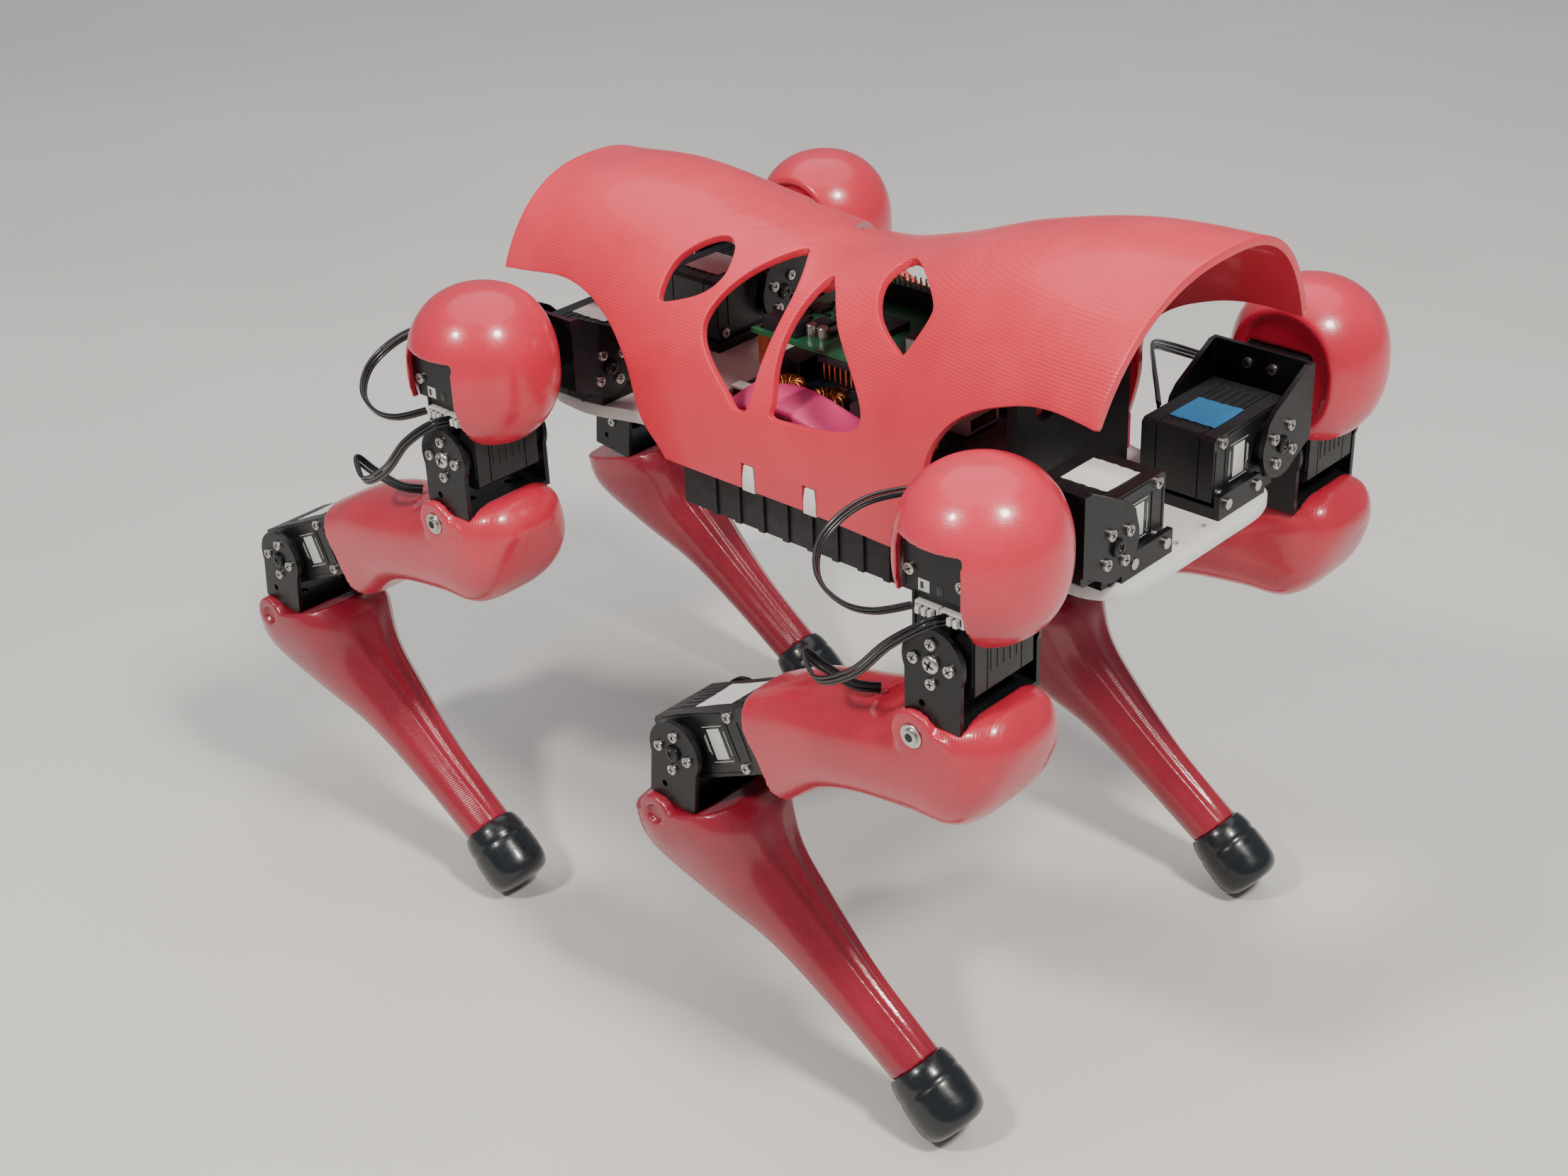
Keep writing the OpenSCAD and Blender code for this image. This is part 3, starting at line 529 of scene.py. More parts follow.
RIDGE_X = [-150, -110, -60, -15, 20, 60, 100, 141]
RIDGE_Z = [288, 291, 285, 281, 289, 303, 312, 314]
SIDE_W = [56, 58, 61, 61, 61, 63, 67, 70]
SECTION_N = 2.4
SKIRT_Z = 207.0
SHELL_WALL = 3.0
BOW_R = 286.0
BOW_X = 140 - BOW_R
BORDER_STEP = 1.8         # spacing of points along the outline
WINDOW_STEP = 1.6
GRID_STEP = 2.4
STRIP_WIDTH = 1.5         # band of even faces beside every edge
RIM_ROUND = 0.85
SECTION_STEPS = 240
FRONT_ARCH = [(58, 200), (63, 215), (67, 231), (69, 246), (78, 259), (94, 268), (116, 273), (150, 270)]
REAR_ARCH = [(-50, 200), (-56, 209), (-67, 220), (-76, 238), (-91, 252), (-113, 259), (-142, 256),
             (-160, 254)]
NOTCH_X = (-13, 16)       # notches in the skirt, each with a locating tab
WINDOWS = [      # points (x, q), q running down the side of the section
    [(-57, -182), (-49, -180), (-44, -168), (-49, -158), (-64, -151), (-67, -155), (-66, -169)],
    [(-28, -186), (-21, -185), (-12, -165), (-14, -130), (-19, -125), (-25, -128), (-43, -149)],
    [(-4, -178), (2, -176), (14, -162), (37, -133), (-1, -126), (-4, -132), (-6.5, -152)],
    [(26, -193), (38, -188), (52, -177), (55, -170), (50, -157), (45, -158), (31, -168), (23, -182)]]


def station(x):
    i = 0
    while i < len(RIDGE_X) - 2 and x >= RIDGE_X[i + 1]:
        i += 1
    return i + (x - RIDGE_X[i]) / (RIDGE_X[i + 1] - RIDGE_X[i])


class Section:
    """Half section of the shell at one x: points from the ridge down to the skirt, by arc length."""

    def __init__(self, x):
        t = min(max(station(x), 0), len(RIDGE_X) - 1)
        w, h = catmull(SIDE_W, t), catmull(RIDGE_Z, t) - SKIRT_Z
        points = [superellipse(math.pi / 2 * (1 - k / SECTION_STEPS), w, h, SECTION_N)
                  for k in range(SECTION_STEPS + 1)]
        self.y = np.array([p[0] for p in points])
        self.z = np.array([SKIRT_Z + p[1] for p in points])
        step = np.hypot(np.diff(self.y), np.diff(self.z))
        self.s = np.concatenate([[0], np.cumsum(step)])
        self.length = float(self.s[-1])

    def point(self, s):
        y, z = (float(np.interp(abs(s), self.s, values)) for values in (self.y, self.z))
        return (y if s >= 0 else -y), z

    def at_z(self, z):
        return float(np.interp(-z, -self.z, self.s))

    def at_q(self, q):
        return float(np.interp(q, (self.y - self.z) * math.sqrt(0.5), self.s))


SECTIONS = {}


def section(x):
    """The half section at x, to the nearest quarter millimetre."""
    key = round(min(max(x, RIDGE_X[0]), RIDGE_X[-1]) * 4)
    if key not in SECTIONS:
        SECTIONS[key] = Section(key / 4)
    return SECTIONS[key]


def shell_xyz(x, s):
    """Point of the outer skin at x and arc length s, which is negative on the right side."""
    low = math.floor(x * 4) / 4
    a, b = section(low).point(s), section(low + 0.25).point(s)
    f = (x - low) * 4
    return (x, a[0] + (b[0] - a[0]) * f, a[1] + (b[1] - a[1]) * f)


def even_steps(points, step, closed=False):
    """The polyline again, with even steps of about that length."""
    p = [Vector(q) for q in points]
    if closed:
        p.append(p[0])
    total = [0.0]
    for a, b in zip(p, p[1:]):
        total.append(total[-1] + (b - a).length)
    count = max(2, round(total[-1] / step))
    out = []
    for k in range(count if closed else count + 1):
        d = total[-1] * k / count
        i = max(j for j in range(len(total) - 1) if total[j] <= d + 1e-9)
        f = (d - total[i]) / max(total[i + 1] - total[i], 1e-9)
        out.append(tuple(p[i].lerp(p[i + 1], min(f, 1))))
    return out


def arch_side(arch, x_limit):
    """Points (x, s) where an arch crosses the left side, from the skirt to its far end."""
    n = len(arch) - 1
    out = []
    for k in range(40 * n + 1):
        x, z = catmull(arch, k / 40)
        if z < SKIRT_Z or abs(x) > abs(x_limit):
            continue
        out.append((x, section(x).at_z(z)))
    return out


def bow_x(x, s):
    """Where the rounded front edge cuts the skin at arc length s."""
    return BOW_X + math.sqrt(BOW_R ** 2 - shell_xyz(min(x, 140.5), s)[1] ** 2)


def shell_outline():
    """Closed outline of the unrolled shell, as runs of (x, s)."""
    front = [p for p in arch_side(FRONT_ARCH, 139.5) if p[0] < bow_x(*p)]
    rear = [p for p in arch_side(REAR_ARCH, -150) if p[0] > -149.95]
    last = front[-1][1]
    bow = []
    count = 60
    for k in range(1, 2 * count):
        s = last * (1 - k / count)
        x = 139.0
        for _ in range(4):
            x = bow_x(x, s)
        bow.append((x, s))
    rear_s = rear[-1][1]
    back = [(-149.9, rear_s * (k / count - 1)) for k in range(0, 2 * count + 1)]
    skirt = []
    notch_z = PLATE_TOP + 5.4
    for x in NOTCH_X:
        for dx, z in ((-3.3, SKIRT_Z), (-3.3, notch_z), (3.3, notch_z), (3.3, SKIRT_Z)):
            skirt.append((x + dx, section(x + dx).at_z(z) if z > SKIRT_Z else section(x + dx).length))
    ends = [(x, section(x).length) for x in (rear[0][0], front[0][0])]
    left_skirt = [ends[0]] + skirt + [ends[1]]
    mirror = [(x, -s) for x, s in left_skirt + front][::-1]
    return [left_skirt[:-1], front, bow, mirror, [(x, -s) for x, s in rear], back, rear[::-1]]


def spaced(points, gap):
    """The points without those closer than gap to the last one kept."""
    kept = []
    for p in points:
        if not kept or (Vector(p) - Vector(kept[-1])).length > gap:
            kept.append(p)
    return kept


def inside(points, poly):
    result = np.zeros(len(points), bool)
    x, y = points[:, 0], points[:, 1]
    for (x1, y1), (x2, y2) in zip(poly, np.roll(poly, -1, axis=0)):
        result ^= ((y1 > y) != (y2 > y)) & (x < (x2 - x1) * (y - y1) / (y2 - y1 + 1e-12) + x1)
    return result


def distance(points, poly):
    best = np.full(len(points), 1e9)
    for a, b in zip(poly, np.roll(poly, -1, axis=0)):
        ab = b - a
        t = np.clip(((points - a) @ ab) / max(ab @ ab, 1e-12), 0, 1)
        best = np.minimum(best, np.hypot(*(points - a - t[:, None] * ab).T))
    return best


def shell_object():
    loop = spaced([p for run in shell_outline() for p in run], 0.05)
    stepped = []
    for a, b in zip(loop, loop[1:] + loop[:1]):
        n = max(1, round((Vector(b) - Vector(a)).length / BORDER_STEP))
        stepped += [tuple(Vector(a).lerp(Vector(b), k / n)) for k in range(n)]
    loops = [spaced(stepped, 0.9)]
    for window in WINDOWS:
        side = [(x, section(x).at_q(q)) for x, q in closed_curve(window, 14)]
        side = even_steps(side, WINDOW_STEP, closed=True)
        loops += [side, [(x, -s) for x, s in side]]
    arrays = [np.array(l) for l in loops]

    def on_shell(points):
        good = inside(points, arrays[0])
        for poly in arrays[1:]:
            good &= ~inside(points, poly)
        return good

    def edge_gap(points):
        return np.min([distance(points, poly) for poly in arrays], axis=0)

    gx, gs = np.meshgrid(np.arange(-149, 141, GRID_STEP), np.arange(-150, 150.1, GRID_STEP),
                         indexing="ij")
    grid = np.stack([gx.ravel(), gs.ravel()], 1)
    grid = grid[on_shell(grid)]
    grid = grid[edge_gap(grid) > 2.6]
    # a strip of even width along every edge, so that the edges can be rounded
    strip = []
    for poly in arrays:
        tangent = np.roll(poly, -1, axis=0) - np.roll(poly, 1, axis=0)
        tangent /= np.maximum(np.hypot(*tangent.T), 1e-9)[:, None]
        normal = np.stack([-tangent[:, 1], tangent[:, 0]], 1)
        for sign in (1, -1):
            cand = poly + normal * STRIP_WIDTH * sign
            cand = cand[on_shell(cand)]
            strip.append(cand[edge_gap(cand) > 1.25])
    cloud = np.concatenate(arrays + [grid] + strip)
    edges = []
    for poly in arrays:
        base, n = len(edges), len(poly)
        edges += [(base + i, base + (i + 1) % n) for i in range(n)]
    verts, _, faces, *_ = delaunay_2d_cdt([Vector(p) for p in cloud], edges, [], 0, 1e-4)
    flat = np.array([tuple(v) for v in verts])
    ok = on_shell(np.array([flat[list(f)].mean(axis=0) for f in faces]))
    bm = bmesh.new()
    made = [bm.verts.new(shell_xyz(float(x), float(s))) for x, s in flat]
    for face, good in zip(faces, ok):
        if good:
            bm.faces.new([made[i] for i in face])
    bmesh.ops.delete(bm, geom=[v for v in bm.verts if not v.link_faces], context="VERTS")
    bm.normal_update()
    if sum(f.normal.z for f in bm.faces) < 0:
        bmesh.ops.reverse_faces(bm, faces=bm.faces)
    bm.normal_update()
    # inner wall and rim
    inner = {v: bm.verts.new(v.co - v.normal * SHELL_WALL) for v in list(bm.verts)}
    rim = [e for e in bm.edges if len(e.link_faces) == 1]
    for face in list(bm.faces):
        bm.faces.new([inner[v] for v in reversed(face.verts)])
    rim_set = {bm.faces.new((*edge.verts, inner[edge.verts[1]], inner[edge.verts[0]])) for edge in rim}
    for v in inner.values():
        v.co.z = max(v.co.z, SKIRT_Z + 0.02)
    bmesh.ops.recalc_face_normals(bm, faces=bm.faces)
    sharp = [e for e in bm.edges if len(e.link_faces) == 2
             and (e.link_faces[0] in rim_set) != (e.link_faces[1] in rim_set)]
    bmesh.ops.bevel(bm, geom=sharp, offset=RIM_ROUND, segments=3, profile=0.5, affect="EDGES", clamp_overlap=True)
    bm.transform(ROW)
    obj = make_object("printed_back_shell", bm, ["coral"], 0)
    obj.data.shade_smooth()
    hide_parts("back_shell")
    finish_piece(obj, "chassis")


shell_object()


# ---- printed leg parts, made once in leg millimetres ----

def remove_object(obj):
    mesh = obj.data
    bpy.data.objects.remove(obj)
    bpy.data.meshes.remove(mesh)


def solid_box(low, high, matrix=HERE):
    bm = bmesh.new()
    bmesh.ops.create_cube(bm, size=1)
    bm.transform(matrix @ box_place(low, high))
    return make_object("cutter", bm, [], 0)


def solid_rod(radius, low, high, matrix=HERE, sides=96, top=None):
    """Cylinder along Y from low to high."""
    bm = bmesh.new()
    bmesh.ops.create_cone(bm, cap_ends=True, segments=sides, radius1=radius,
                          radius2=radius if top is None else top, depth=high - low)
    bm.transform(matrix @ shift(0, (low + high) / 2, 0) @ spin(-90, "X"))
    return make_object("cutter", bm, [], 0)


def carve(obj, tools, operation="DIFFERENCE"):
    for tool in tools:
        mod = obj.modifiers.new("carve", "BOOLEAN")
        mod.operation = operation
        mod.object = tool
        mod.solver = "EXACT"
        apply_modifiers(obj)
        remove_object(tool)


def soften(obj, voxel, rounds=4):
    """Remesh with small voxels and relax, so that edges look printed and lacquered."""
    mod = obj.modifiers.new("remesh", "REMESH")
    mod.mode = "VOXEL"
    mod.voxel_size = voxel
    mod.use_smooth_shade = True
    relax = obj.modifiers.new("relax", "SMOOTH")
    relax.factor = 0.5
    relax.iterations = rounds
    apply_modifiers(obj)
    obj.data.shade_smooth()


def limb_object(stations, rings=90, sides=96, ridge=None):
    """Smooth superelliptic limb through the stations; ridge(t, angle) moves a point outwards."""
    count = len(stations) - 1
    bm = bmesh.new()
    loops = []
    for i in range(rings):
        t = i * count / (rings - 1)
        x, z, half_h, half_w, slope, n, y = catmull(stations, t)
        loop = []
        for a in turns(sides):
            q = superellipse(a, half_h, half_w, n)
            if ridge:
                grow = 1 + ridge(t / count, a) / math.hypot(*q)
                q = (q[0] * grow, q[1] * grow)
            lean = math.radians(slope)
            loop.append(bm.verts.new((x - q[0] * math.sin(lean), y + q[1], z + q[0] * math.cos(lean))))
        loops.append(loop)
    bridge(bm, loops)
    return make_object("limb", bm, [], 0)


# a station is x, z, half height, half width, slope in degrees, squareness, y
THIGH_STATIONS = [(25.6, -27.6, 0.6, 2, 8, 2, 47.5), (24.5, -27.5, 4.5, 10, 8, 2.2, 47.5),
                  (20.6, -28, 11, 17, 14, 2.8, 47.5), (14, -34, 17.3, 21.5, 12, 3.2, 47.7),
                  (4, -39.3, 21.6, 22.8, 7, 3.2, 48), (-14, -44, 20, 22.5, 8, 2.6, 48),
                  (-40, -50, 18, 21.5, 12, 2.6, 48), (-62, -57, 19, 20.5, 24, 2.8, 47.5),
                  (-80, -68, 20.5, 19.5, 28, 3.2, 47)]
FOOT_X = 93
FOOT_TILT = 41
FOOT_R = 13.2
FOOT_L = 27
FOOT_PROFILE = [(0.84, 0), (0.92, 0.1), (0.98, 0.3), (1, 0.5), (1, 0.7), (0.965, 0.82), (0.88, 0.91),
                (0.74, 0.965), (0.55, 0.99), (0.3, 1)]
LEAN = math.radians(FOOT_TILT)
FOOT_DROP = max(l * FOOT_L * math.sin(LEAN) + r * FOOT_R * math.cos(LEAN) for r, l in FOOT_PROFILE)
FOOT_Z = FOOT_DROP - (ROLL_Z - HIP_DROP) - KNEE_Z
SHIN_STATIONS = [(-4, -26, 26, 22.5, 107, 3, 1), (2, -36, 27.5, 23, 116, 2.7, 1),
                 (18, -51, 19.5, 18, 128, 2.4, 0.5), (40, -64.5, 13, 14, 144, 2.2, 0),
                 (67, -85, 10.4, 10.8, 144, 2, 0), (FOOT_X, FOOT_Z, 9.9, 9.9, 139, 2, 0)]
SHIN_RIDGES = [math.radians(turn) for turn in (163, 186, 210)]
CHEEK = (-6.0, -27.0)     # bolt in the thigh's cheek, from the hip axis
NUT = (-9.0, -28.0)       # nut recess in the shin's cheek, from the knee axis


CAP_R, CAP_HALF = 28, 30      # outer radius and half height
CAP_IN_R, CAP_IN_HALF = 25.8, 27.8
CAP_AT = shift(2, 45, 12)


def cap_solid(name, scale_r, scale_h, sides):
    ring = [superellipse(math.radians(-90 + 180 * k / 64), CAP_R, CAP_HALF, 2.25) for k in range(65)]
    ring[0], ring[-1] = (0, -CAP_HALF), (0, CAP_HALF)
    build = Build()
    build.lathe([(r * scale_r, h * scale_h) for r, h in ring], CAP_AT, "coral", sides)
    return make_object(name, build.bm, [], 0)


def make_cap():
    obj = cap_solid("cap", 1, 1, 128)
    tools = [cap_solid("cutter", CAP_IN_R / CAP_R, CAP_IN_HALF / CAP_HALF, 96),
             solid_box((-50, -50, -50), (50, 26, 100)),
             solid_box((-80, 0, -80), (80, 160, 0), shift(0, -10, -8) @ spin(18, "Y")),
             solid_box((-13.3, 50, -60), (13.3, 100, 22)),
             solid_box((-40, 50, -60), (0, 100, 2)),
             solid_box((-12.9, 31, -60), (12.9, 63, 20)),
             solid_rod(13.2, 0, 100, shift(0, 0, -HIP_DROP))]
    # the inboard side is closed by a thin wall above the bracket
    bulkhead = cap_solid("wall", 0.985, 0.985, 96)
    carve(bulkhead, [solid_box((-50, -50, -50), (50, 27.4, 100)), solid_box((-50, 29.4, -50), (50, 100, 100)),
                     solid_box((-12.7, 0, -60), (12.7, 60, 20.8))])
    carve(obj, tools[:2])
    carve(obj, [bulkhead], "UNION")
    carve(obj, tools[2:])
    soften(obj, 0.7, 3)
    post = Build()
    post.lathe([(4.6, 0), (5, 0.5), (5, 18), (0, 18)], shift(2, 45, 20.45), "coral", 32)
    return obj, make_object("post", post.bm, [], 0)


def make_thigh():
    obj = limb_object(THIGH_STATIONS)
    obj.data.transform(shift(0, 0, -HIP_DROP))
    carve(obj, [solid_rod(9.3, 12, 23.2, HIP @ shift(CHEEK[0], 0, CHEEK[1]), top=8.6),
                solid_rod(8, 12, 22.9, HIP @ shift(3.5, 0, -31.5), top=7.4)], "UNION")
    tools = [solid_box((-11.05, -30, -21.95), (11.05, 20.15, 38), HIP),
             solid_rod(21, -30, 19.9, HIP),
             solid_rod(7, -5, 25, HIP @ shift(-27, 0, -24)),
             solid_box((-46.95, -12.4, -14.55), (-13.95, 12.4, 14.55), KNEE_SERVO),
             solid_rod(30, 14, 34, KNEE @ shift(14, 0, -2)),
             solid_rod(4.4, 22.6, 30, HIP @ shift(CHEEK[0], 0, CHEEK[1]))]
    carve(obj, tools)
    soften(obj, 0.8, 5)
    return obj


def shin_ridge(t, a):
    """Three low ridges that run down the front of the shin."""
    fade = min(1, max(0, (t - 0.18) / 0.2)) * min(1, max(0, (1.02 - t) / 0.15))
    lift = 0
    for centre in SHIN_RIDGES:
        d = (a - centre + math.pi) % (2 * math.pi) - math.pi
        lift += 1.1 * math.exp(-(d / 0.11) ** 2)
    return lift * fade


def make_shin():
    obj = limb_object(SHIN_STATIONS, 100, 120, shin_ridge)
    obj.data.transform(KNEE)
    carve(obj, [solid_rod(8.6, 12, 23.6, KNEE @ shift(NUT[0], 0, NUT[1]), top=7.4),
                solid_rod(6, 12, 23.2, KNEE @ shift(-2, 0, -33), top=5.4)], "UNION")
    tools = [solid_box((-11.05, -30, -21.95), (11.05, 20.15, 38), KNEE @ spin(6, "Y")),
             solid_rod(21, -30, 19.9, KNEE),
             solid_rod(4, 21.6, 30, KNEE @ shift(NUT[0], 0, NUT[1]), 6)]
    carve(obj, tools)
    soften(obj, 0.8, 4)
    return obj


def make_foot():
    """Rubber cap with a soft crease where it grips the shin."""
    fine = []
    n = len(FOOT_PROFILE) - 1
    for k in range(6 * n + 1):
        r, l = catmull(FOOT_PROFILE, k / 6)
        crease = 0.035 * math.exp(-((l - 0.30) / 0.035) ** 2)
        fine.append(((r - crease) * FOOT_R, l * FOOT_L))
    fine = [(fine[0][0] - 1.6, 0.2), (fine[0][0] - 0.6, -0.15)] + fine + [(0, FOOT_L)]
    build = Build()
    build.lathe(fine, KNEE @ shift(FOOT_X, 0, FOOT_Z) @ spin(90 + FOOT_TILT, "Y"), "rubber", 64)
    return make_object("foot", build.bm, ["rubber"], 0)


def place_on_legs(source, suffix, mat, body, node=None):
    """One copy of the source on each leg; without a mat it keeps its own materials."""
    for leg in LEGS:
        obj = copy_through(source, leg + suffix, leg_matrix(leg))
        if mat:
            obj.data.materials.clear()
            obj.data.materials.append(M[mat])
        if node:
            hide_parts(leg + node)
        finish_piece(obj, leg + body)
    remove_object(source)


def bolt_in_cheek():
    build = Build()
    at = HIP @ shift(CHEEK[0], 22.65, CHEEK[1]) @ spin(-90, "X")
    build.lathe([(1.9, 0), (4.0, 0), (4.15, 0.15), (4.15, 0.75), (4.0, 0.9), (2.2, 0.9)], at, "steel", 40)
    build.lathe([(2.75, 0.7), (2.85, 0.9), (2.75, 1.5), (2.2, 1.75), (1.5, 1.8), (1.5, 0.95), (0, 0.95)],
                at, "steel", 36)
    hexagon = [(1.35 * math.cos(a), 1.35 * math.sin(a)) for a in turns(6)]
    # the hex socket is a near-black prism in the head: painted shade, not a cut
    build.prism(hexagon, 1.2, 1.83, at, "recess")
    return make_object("bolt", build.bm, build.mats, 40)


cap, cap_post = make_cap()
place_on_legs(cap, "_round_cap", "cap", "_shoulder", "_shoulder_cap")
place_on_legs(cap_post, "_cap_post", "cap", "_shoulder")
place_on_legs(make_thigh(), "_boot_thigh", "thigh", "_thigh", "_thigh")
place_on_legs(make_shin(), "_tapered_shin", "crimson", "_shin", "_shin")
place_on_legs(make_foot(), "_rubber_cap", "rubber", "_shin", "_foot")
place_on_legs(bolt_in_cheek(), "_cheek_bolt", None, "_thigh")


# ---- servos, brackets and their screws ----

LID_Y = 11.2              # rim of the case lid
BOSS_R = 8.8
HORN_SCREW_R = 7          # radius of the circle of screws round a horn
FLANGE_X = 16.9           # face of the cradle's flange
LABEL_FACE = 64.66        # outer face of the hip servo's holder, across the leg


def flip(m):
    """Servo frame to the frame of its +Z or -Z face, with that face looking up."""
    return Matrix() if m > 0 else spin(180, "X")


def hub_screw(build, at, bright):
    if bright:
        build.screw(at, 22, 3.2, 1.7)
    else:
        build.lathe([(3.1, 0), (3.2, 0.3), (3.0, 1.1), (2.5, 1.35), (1.75, 1.4), (1.6, 0.7), (0, 0.7)], at,
                    "bracket", 30)


def ear_details(build, matrix, turn, bright, faces=(1, -1)):
    for m in faces:
        face = matrix @ flip(m) @ shift(0, 0, EAR_OUT)
        for k in range(4):
            a = math.radians(turn * m + 90 * k)
            build.screw(face @ shift(HORN_SCREW_R * math.cos(a), HORN_SCREW_R * math.sin(a), 0), 17 + 31 * k)
        hub_screw(build, face, bright)


def servo_details(build, matrix, label_faces):
    for m in (1, -1):
        face = matrix @ flip(m) @ shift(0, 0, HALF_D)
        for y in (-9.6, 9.6):
            build.screw(face @ shift(-FAR_END + 4.6, y, 0), 40 if y > 0 else 11)
        # raised rim of the case lid and its fine step
        for y in (-LID_Y, LID_Y):
            build.box((-25.6, y - 0.35, -0.1), (6.5, y + 0.35, 0.35), face, "servo", 0.12)
        for x in (-32.6, -26.6):
            build.box((x - 0.3, -7.4, -0.1), (x + 0.3, 7.4, 0.3), face, "servo", 0.1)
        # idle and output bosses
        build.lathe([(BOSS_R, 0), (BOSS_R, 0.5), (8.5, 0.8), (4, 0.8), (4, 0)], face, "servo", 48)
        if m in label_faces:
            build.box((-25.2, -7.6, -0.05), (-12.2, 7.6, 0.10), face, "label_dark", 0.04)
            build.box((-22.0, -5.8, 0.05), (-15.4, 5.8, 0.2), face, "label", 0.04)
            for y in (-6.7, 6.7):
                build.box((-24.0, y - 0.12, 0.05), (-13.4, y + 0.12, 0.14), face, "label", 0)
            for k, x in enumerate((-24.1, -13.7, -13.0)):
                build.box((x - 0.14, -4.6 + k, 0.05), (x + 0.14, 4.6 - 0.6 * k, 0.14), face, "label", 0)
    # cooling ribs of the middle section, on the narrow sides
    for y in (-HALF_W, HALF_W):
        for k in range(5):
            z = -6.4 + 3.2 * k
            build.box((-28, y - 0.22, z - 0.45), (4, y + 0.22, z + 0.45), matrix, "servo", 0.12)


def tape(build, matrix, sign, x0, x1, z0, z1, mat, curl=0.5):
    """Strip of tape on the servo's narrow side (sign * Y), one corner lifting a little."""
    part = bmesh.new()
    nx, nz = 14, 10
    grid = []
    for i in range(nx + 1):
        row = []
        for j in range(nz + 1):
            u, v = i / nx, j / nz
            lift = 0.12 + curl * max(0, u - 0.72) * max(0, v - 0.6) * 4 + 0.06 * math.sin(5 * u + 3 * v)
            ragged = 0.25 * math.sin(23 * v) if i in (0, nx) else 0
            row.append(part.verts.new((x0 + (x1 - x0) * u + ragged, sign * (HALF_W + lift),
                                       z0 + (z1 - z0) * v)))
        grid.append(row)
    for i in range(nx):
        for j in range(nz):
            part.faces.new((grid[i][j], grid[i + 1][j], grid[i + 1][j + 1], grid[i][j + 1]))
    bmesh.ops.recalc_face_normals(part, faces=part.faces)
    made = bmesh.ops.extrude_face_region(part, geom=list(part.faces))
    bmesh.ops.translate(part, verts=[v for v in made["geom"] if isinstance(v, bmesh.types.BMVert)],
                        vec=(0, sign * 0.16, 0))
    build.add(part, matrix, mat)


def connector_row(build):
    """Two white three-pin housings side by side on the hip servo's outer face."""
    for x in (-9.6, 0.2):
        build.box((x, 60.9, -5.6), (x + 9.4, 63.6, -1.4), HERE, "connector", 0.3)
        # the mouth of the housing is a near-black box: painted shade, not a cut
        build.box((x + 0.9, 63.2, -4.6), (x + 8.5, 63.75, -2.2), HERE, "recess", 0.1)
        for k in range(3):
            px = x + 2.2 + 2.5 * k
            build.box((px - 0.85, 62.9, -4.9), (px + 0.85, 65.4, -2.3), HERE, "connector", 0.25)


def leg_details():
    tapes = {"fr": "paper", "fl": "blue", "rr": "paper", "rl": "paper"}
    for leg, (front, _) in LEGS.items():
        place = leg_matrix(leg)
        mirror = Matrix.Diagonal((front, 1, 1, 1))
        # roll servo
        build = Build()
        servo_details(build, ROLL_SERVO, (1,) if front > 0 else (-1,))
        tape(build, ROLL_SERVO, 1, -26.5, -8.5, -8.5, 9.5, tapes[leg])
        build.done(leg + "_roll_servo_trim", place, "chassis", "servo_black")
        # cradle flange screws
        build = Build()
        for y in (-30, -12):
            build.screw(mirror @ shift(FLANGE_X + 0.02, y, -11.4) @ spin(90, "Y"), 25)
        build.done(leg + "_cradle_screws", place, "chassis", "steel")
        # roll bracket and holder
        build = Build()
        ear_details(build, spin(90, "Y"), 57, False)
        for x in (-5, 5):
            build.screw(shift(x, 16, 18) @ spin(90, "X"), 30)
        for x in (-10, 10):
            build.screw(shift(x, 64.72, 10) @ spin(-90, "X"), 12 * x)
        build.done(leg + "_roll_bracket_screws", place, leg + "_shoulder", "steel")
        # hip servo with its connectors
        build = Build()
        servo_details(build, HIP_SERVO, ())
        if leg in ("fr", "fl"):
            tape(build, HIP_SERVO, 1, -30, -8, 1.5, 13.5, "paper", 0.2)
        connector_row(build)
        build.box((-7, LABEL_FACE, 3.6), (-2.6, 64.9, 7.6), HERE, "label", 0.05)
        build.box((-6.1, 64.85, 4.4), (-4.9, 64.98, 6.8), HERE, "label_dark", 0.03)
        build.box((0.2, LABEL_FACE, 3.9), (2.6, 64.85, 7.3), HERE, "label_dark", 0.05)
        build.done(leg + "_hip_servo_trim", place, leg + "_shoulder", "servo_black")
        # hip bracket
        build = Build()
        ear_details(build, HIP_BRACKET, 0, True)
        build.done(leg + "_hip_bracket_screws", place, leg + "_thigh", "steel")
        # knee servo
        build = Build()
        servo_details(build, KNEE_SERVO, (-1, 1))
        tape(build, KNEE_SERVO, -1, -27, -7, -9, 10, "paper")
        build.done(leg + "_knee_servo_trim", place, leg + "_thigh", "servo_black")
        # knee bracket
        build = Build()
        ear_details(build, KNEE_BRACKET, 0, False)
        build.done(leg + "_knee_bracket_screws", place, leg + "_shin", "steel")


leg_details()


# ---- carried-over CAD nodes ----

def islands(mesh):
    """Loose parts of a mesh as lists of faces, with their sizes in millimetres."""
    parent = list(range(len(mesh.vertices)))

    def root(i):
        while parent[i] != i:
            parent[i] = parent[parent[i]]
            i = parent[i]
        return i

    # vertices that lie at the same point belong together
    seen = {}
    for v in mesh.vertices:
        key = tuple(round(c * 1e6) for c in v.co)
        if key in seen:
            parent[root(v.index)] = root(seen[key])
        else:
            seen[key] = v.index
    for face in mesh.polygons:
        first = root(face.vertices[0])
        for v in face.vertices[1:]:
            parent[root(v)] = first
    groups = {}
    for face in mesh.polygons:
        groups.setdefault(root(face.vertices[0]), []).append(face)
    result = []
    for faces in groups.values():
        points = np.array([mesh.vertices[v].co for f in faces for v in f.vertices]) * 1000
        result.append((faces, points.min(axis=0), points.max(axis=0)))
    return result


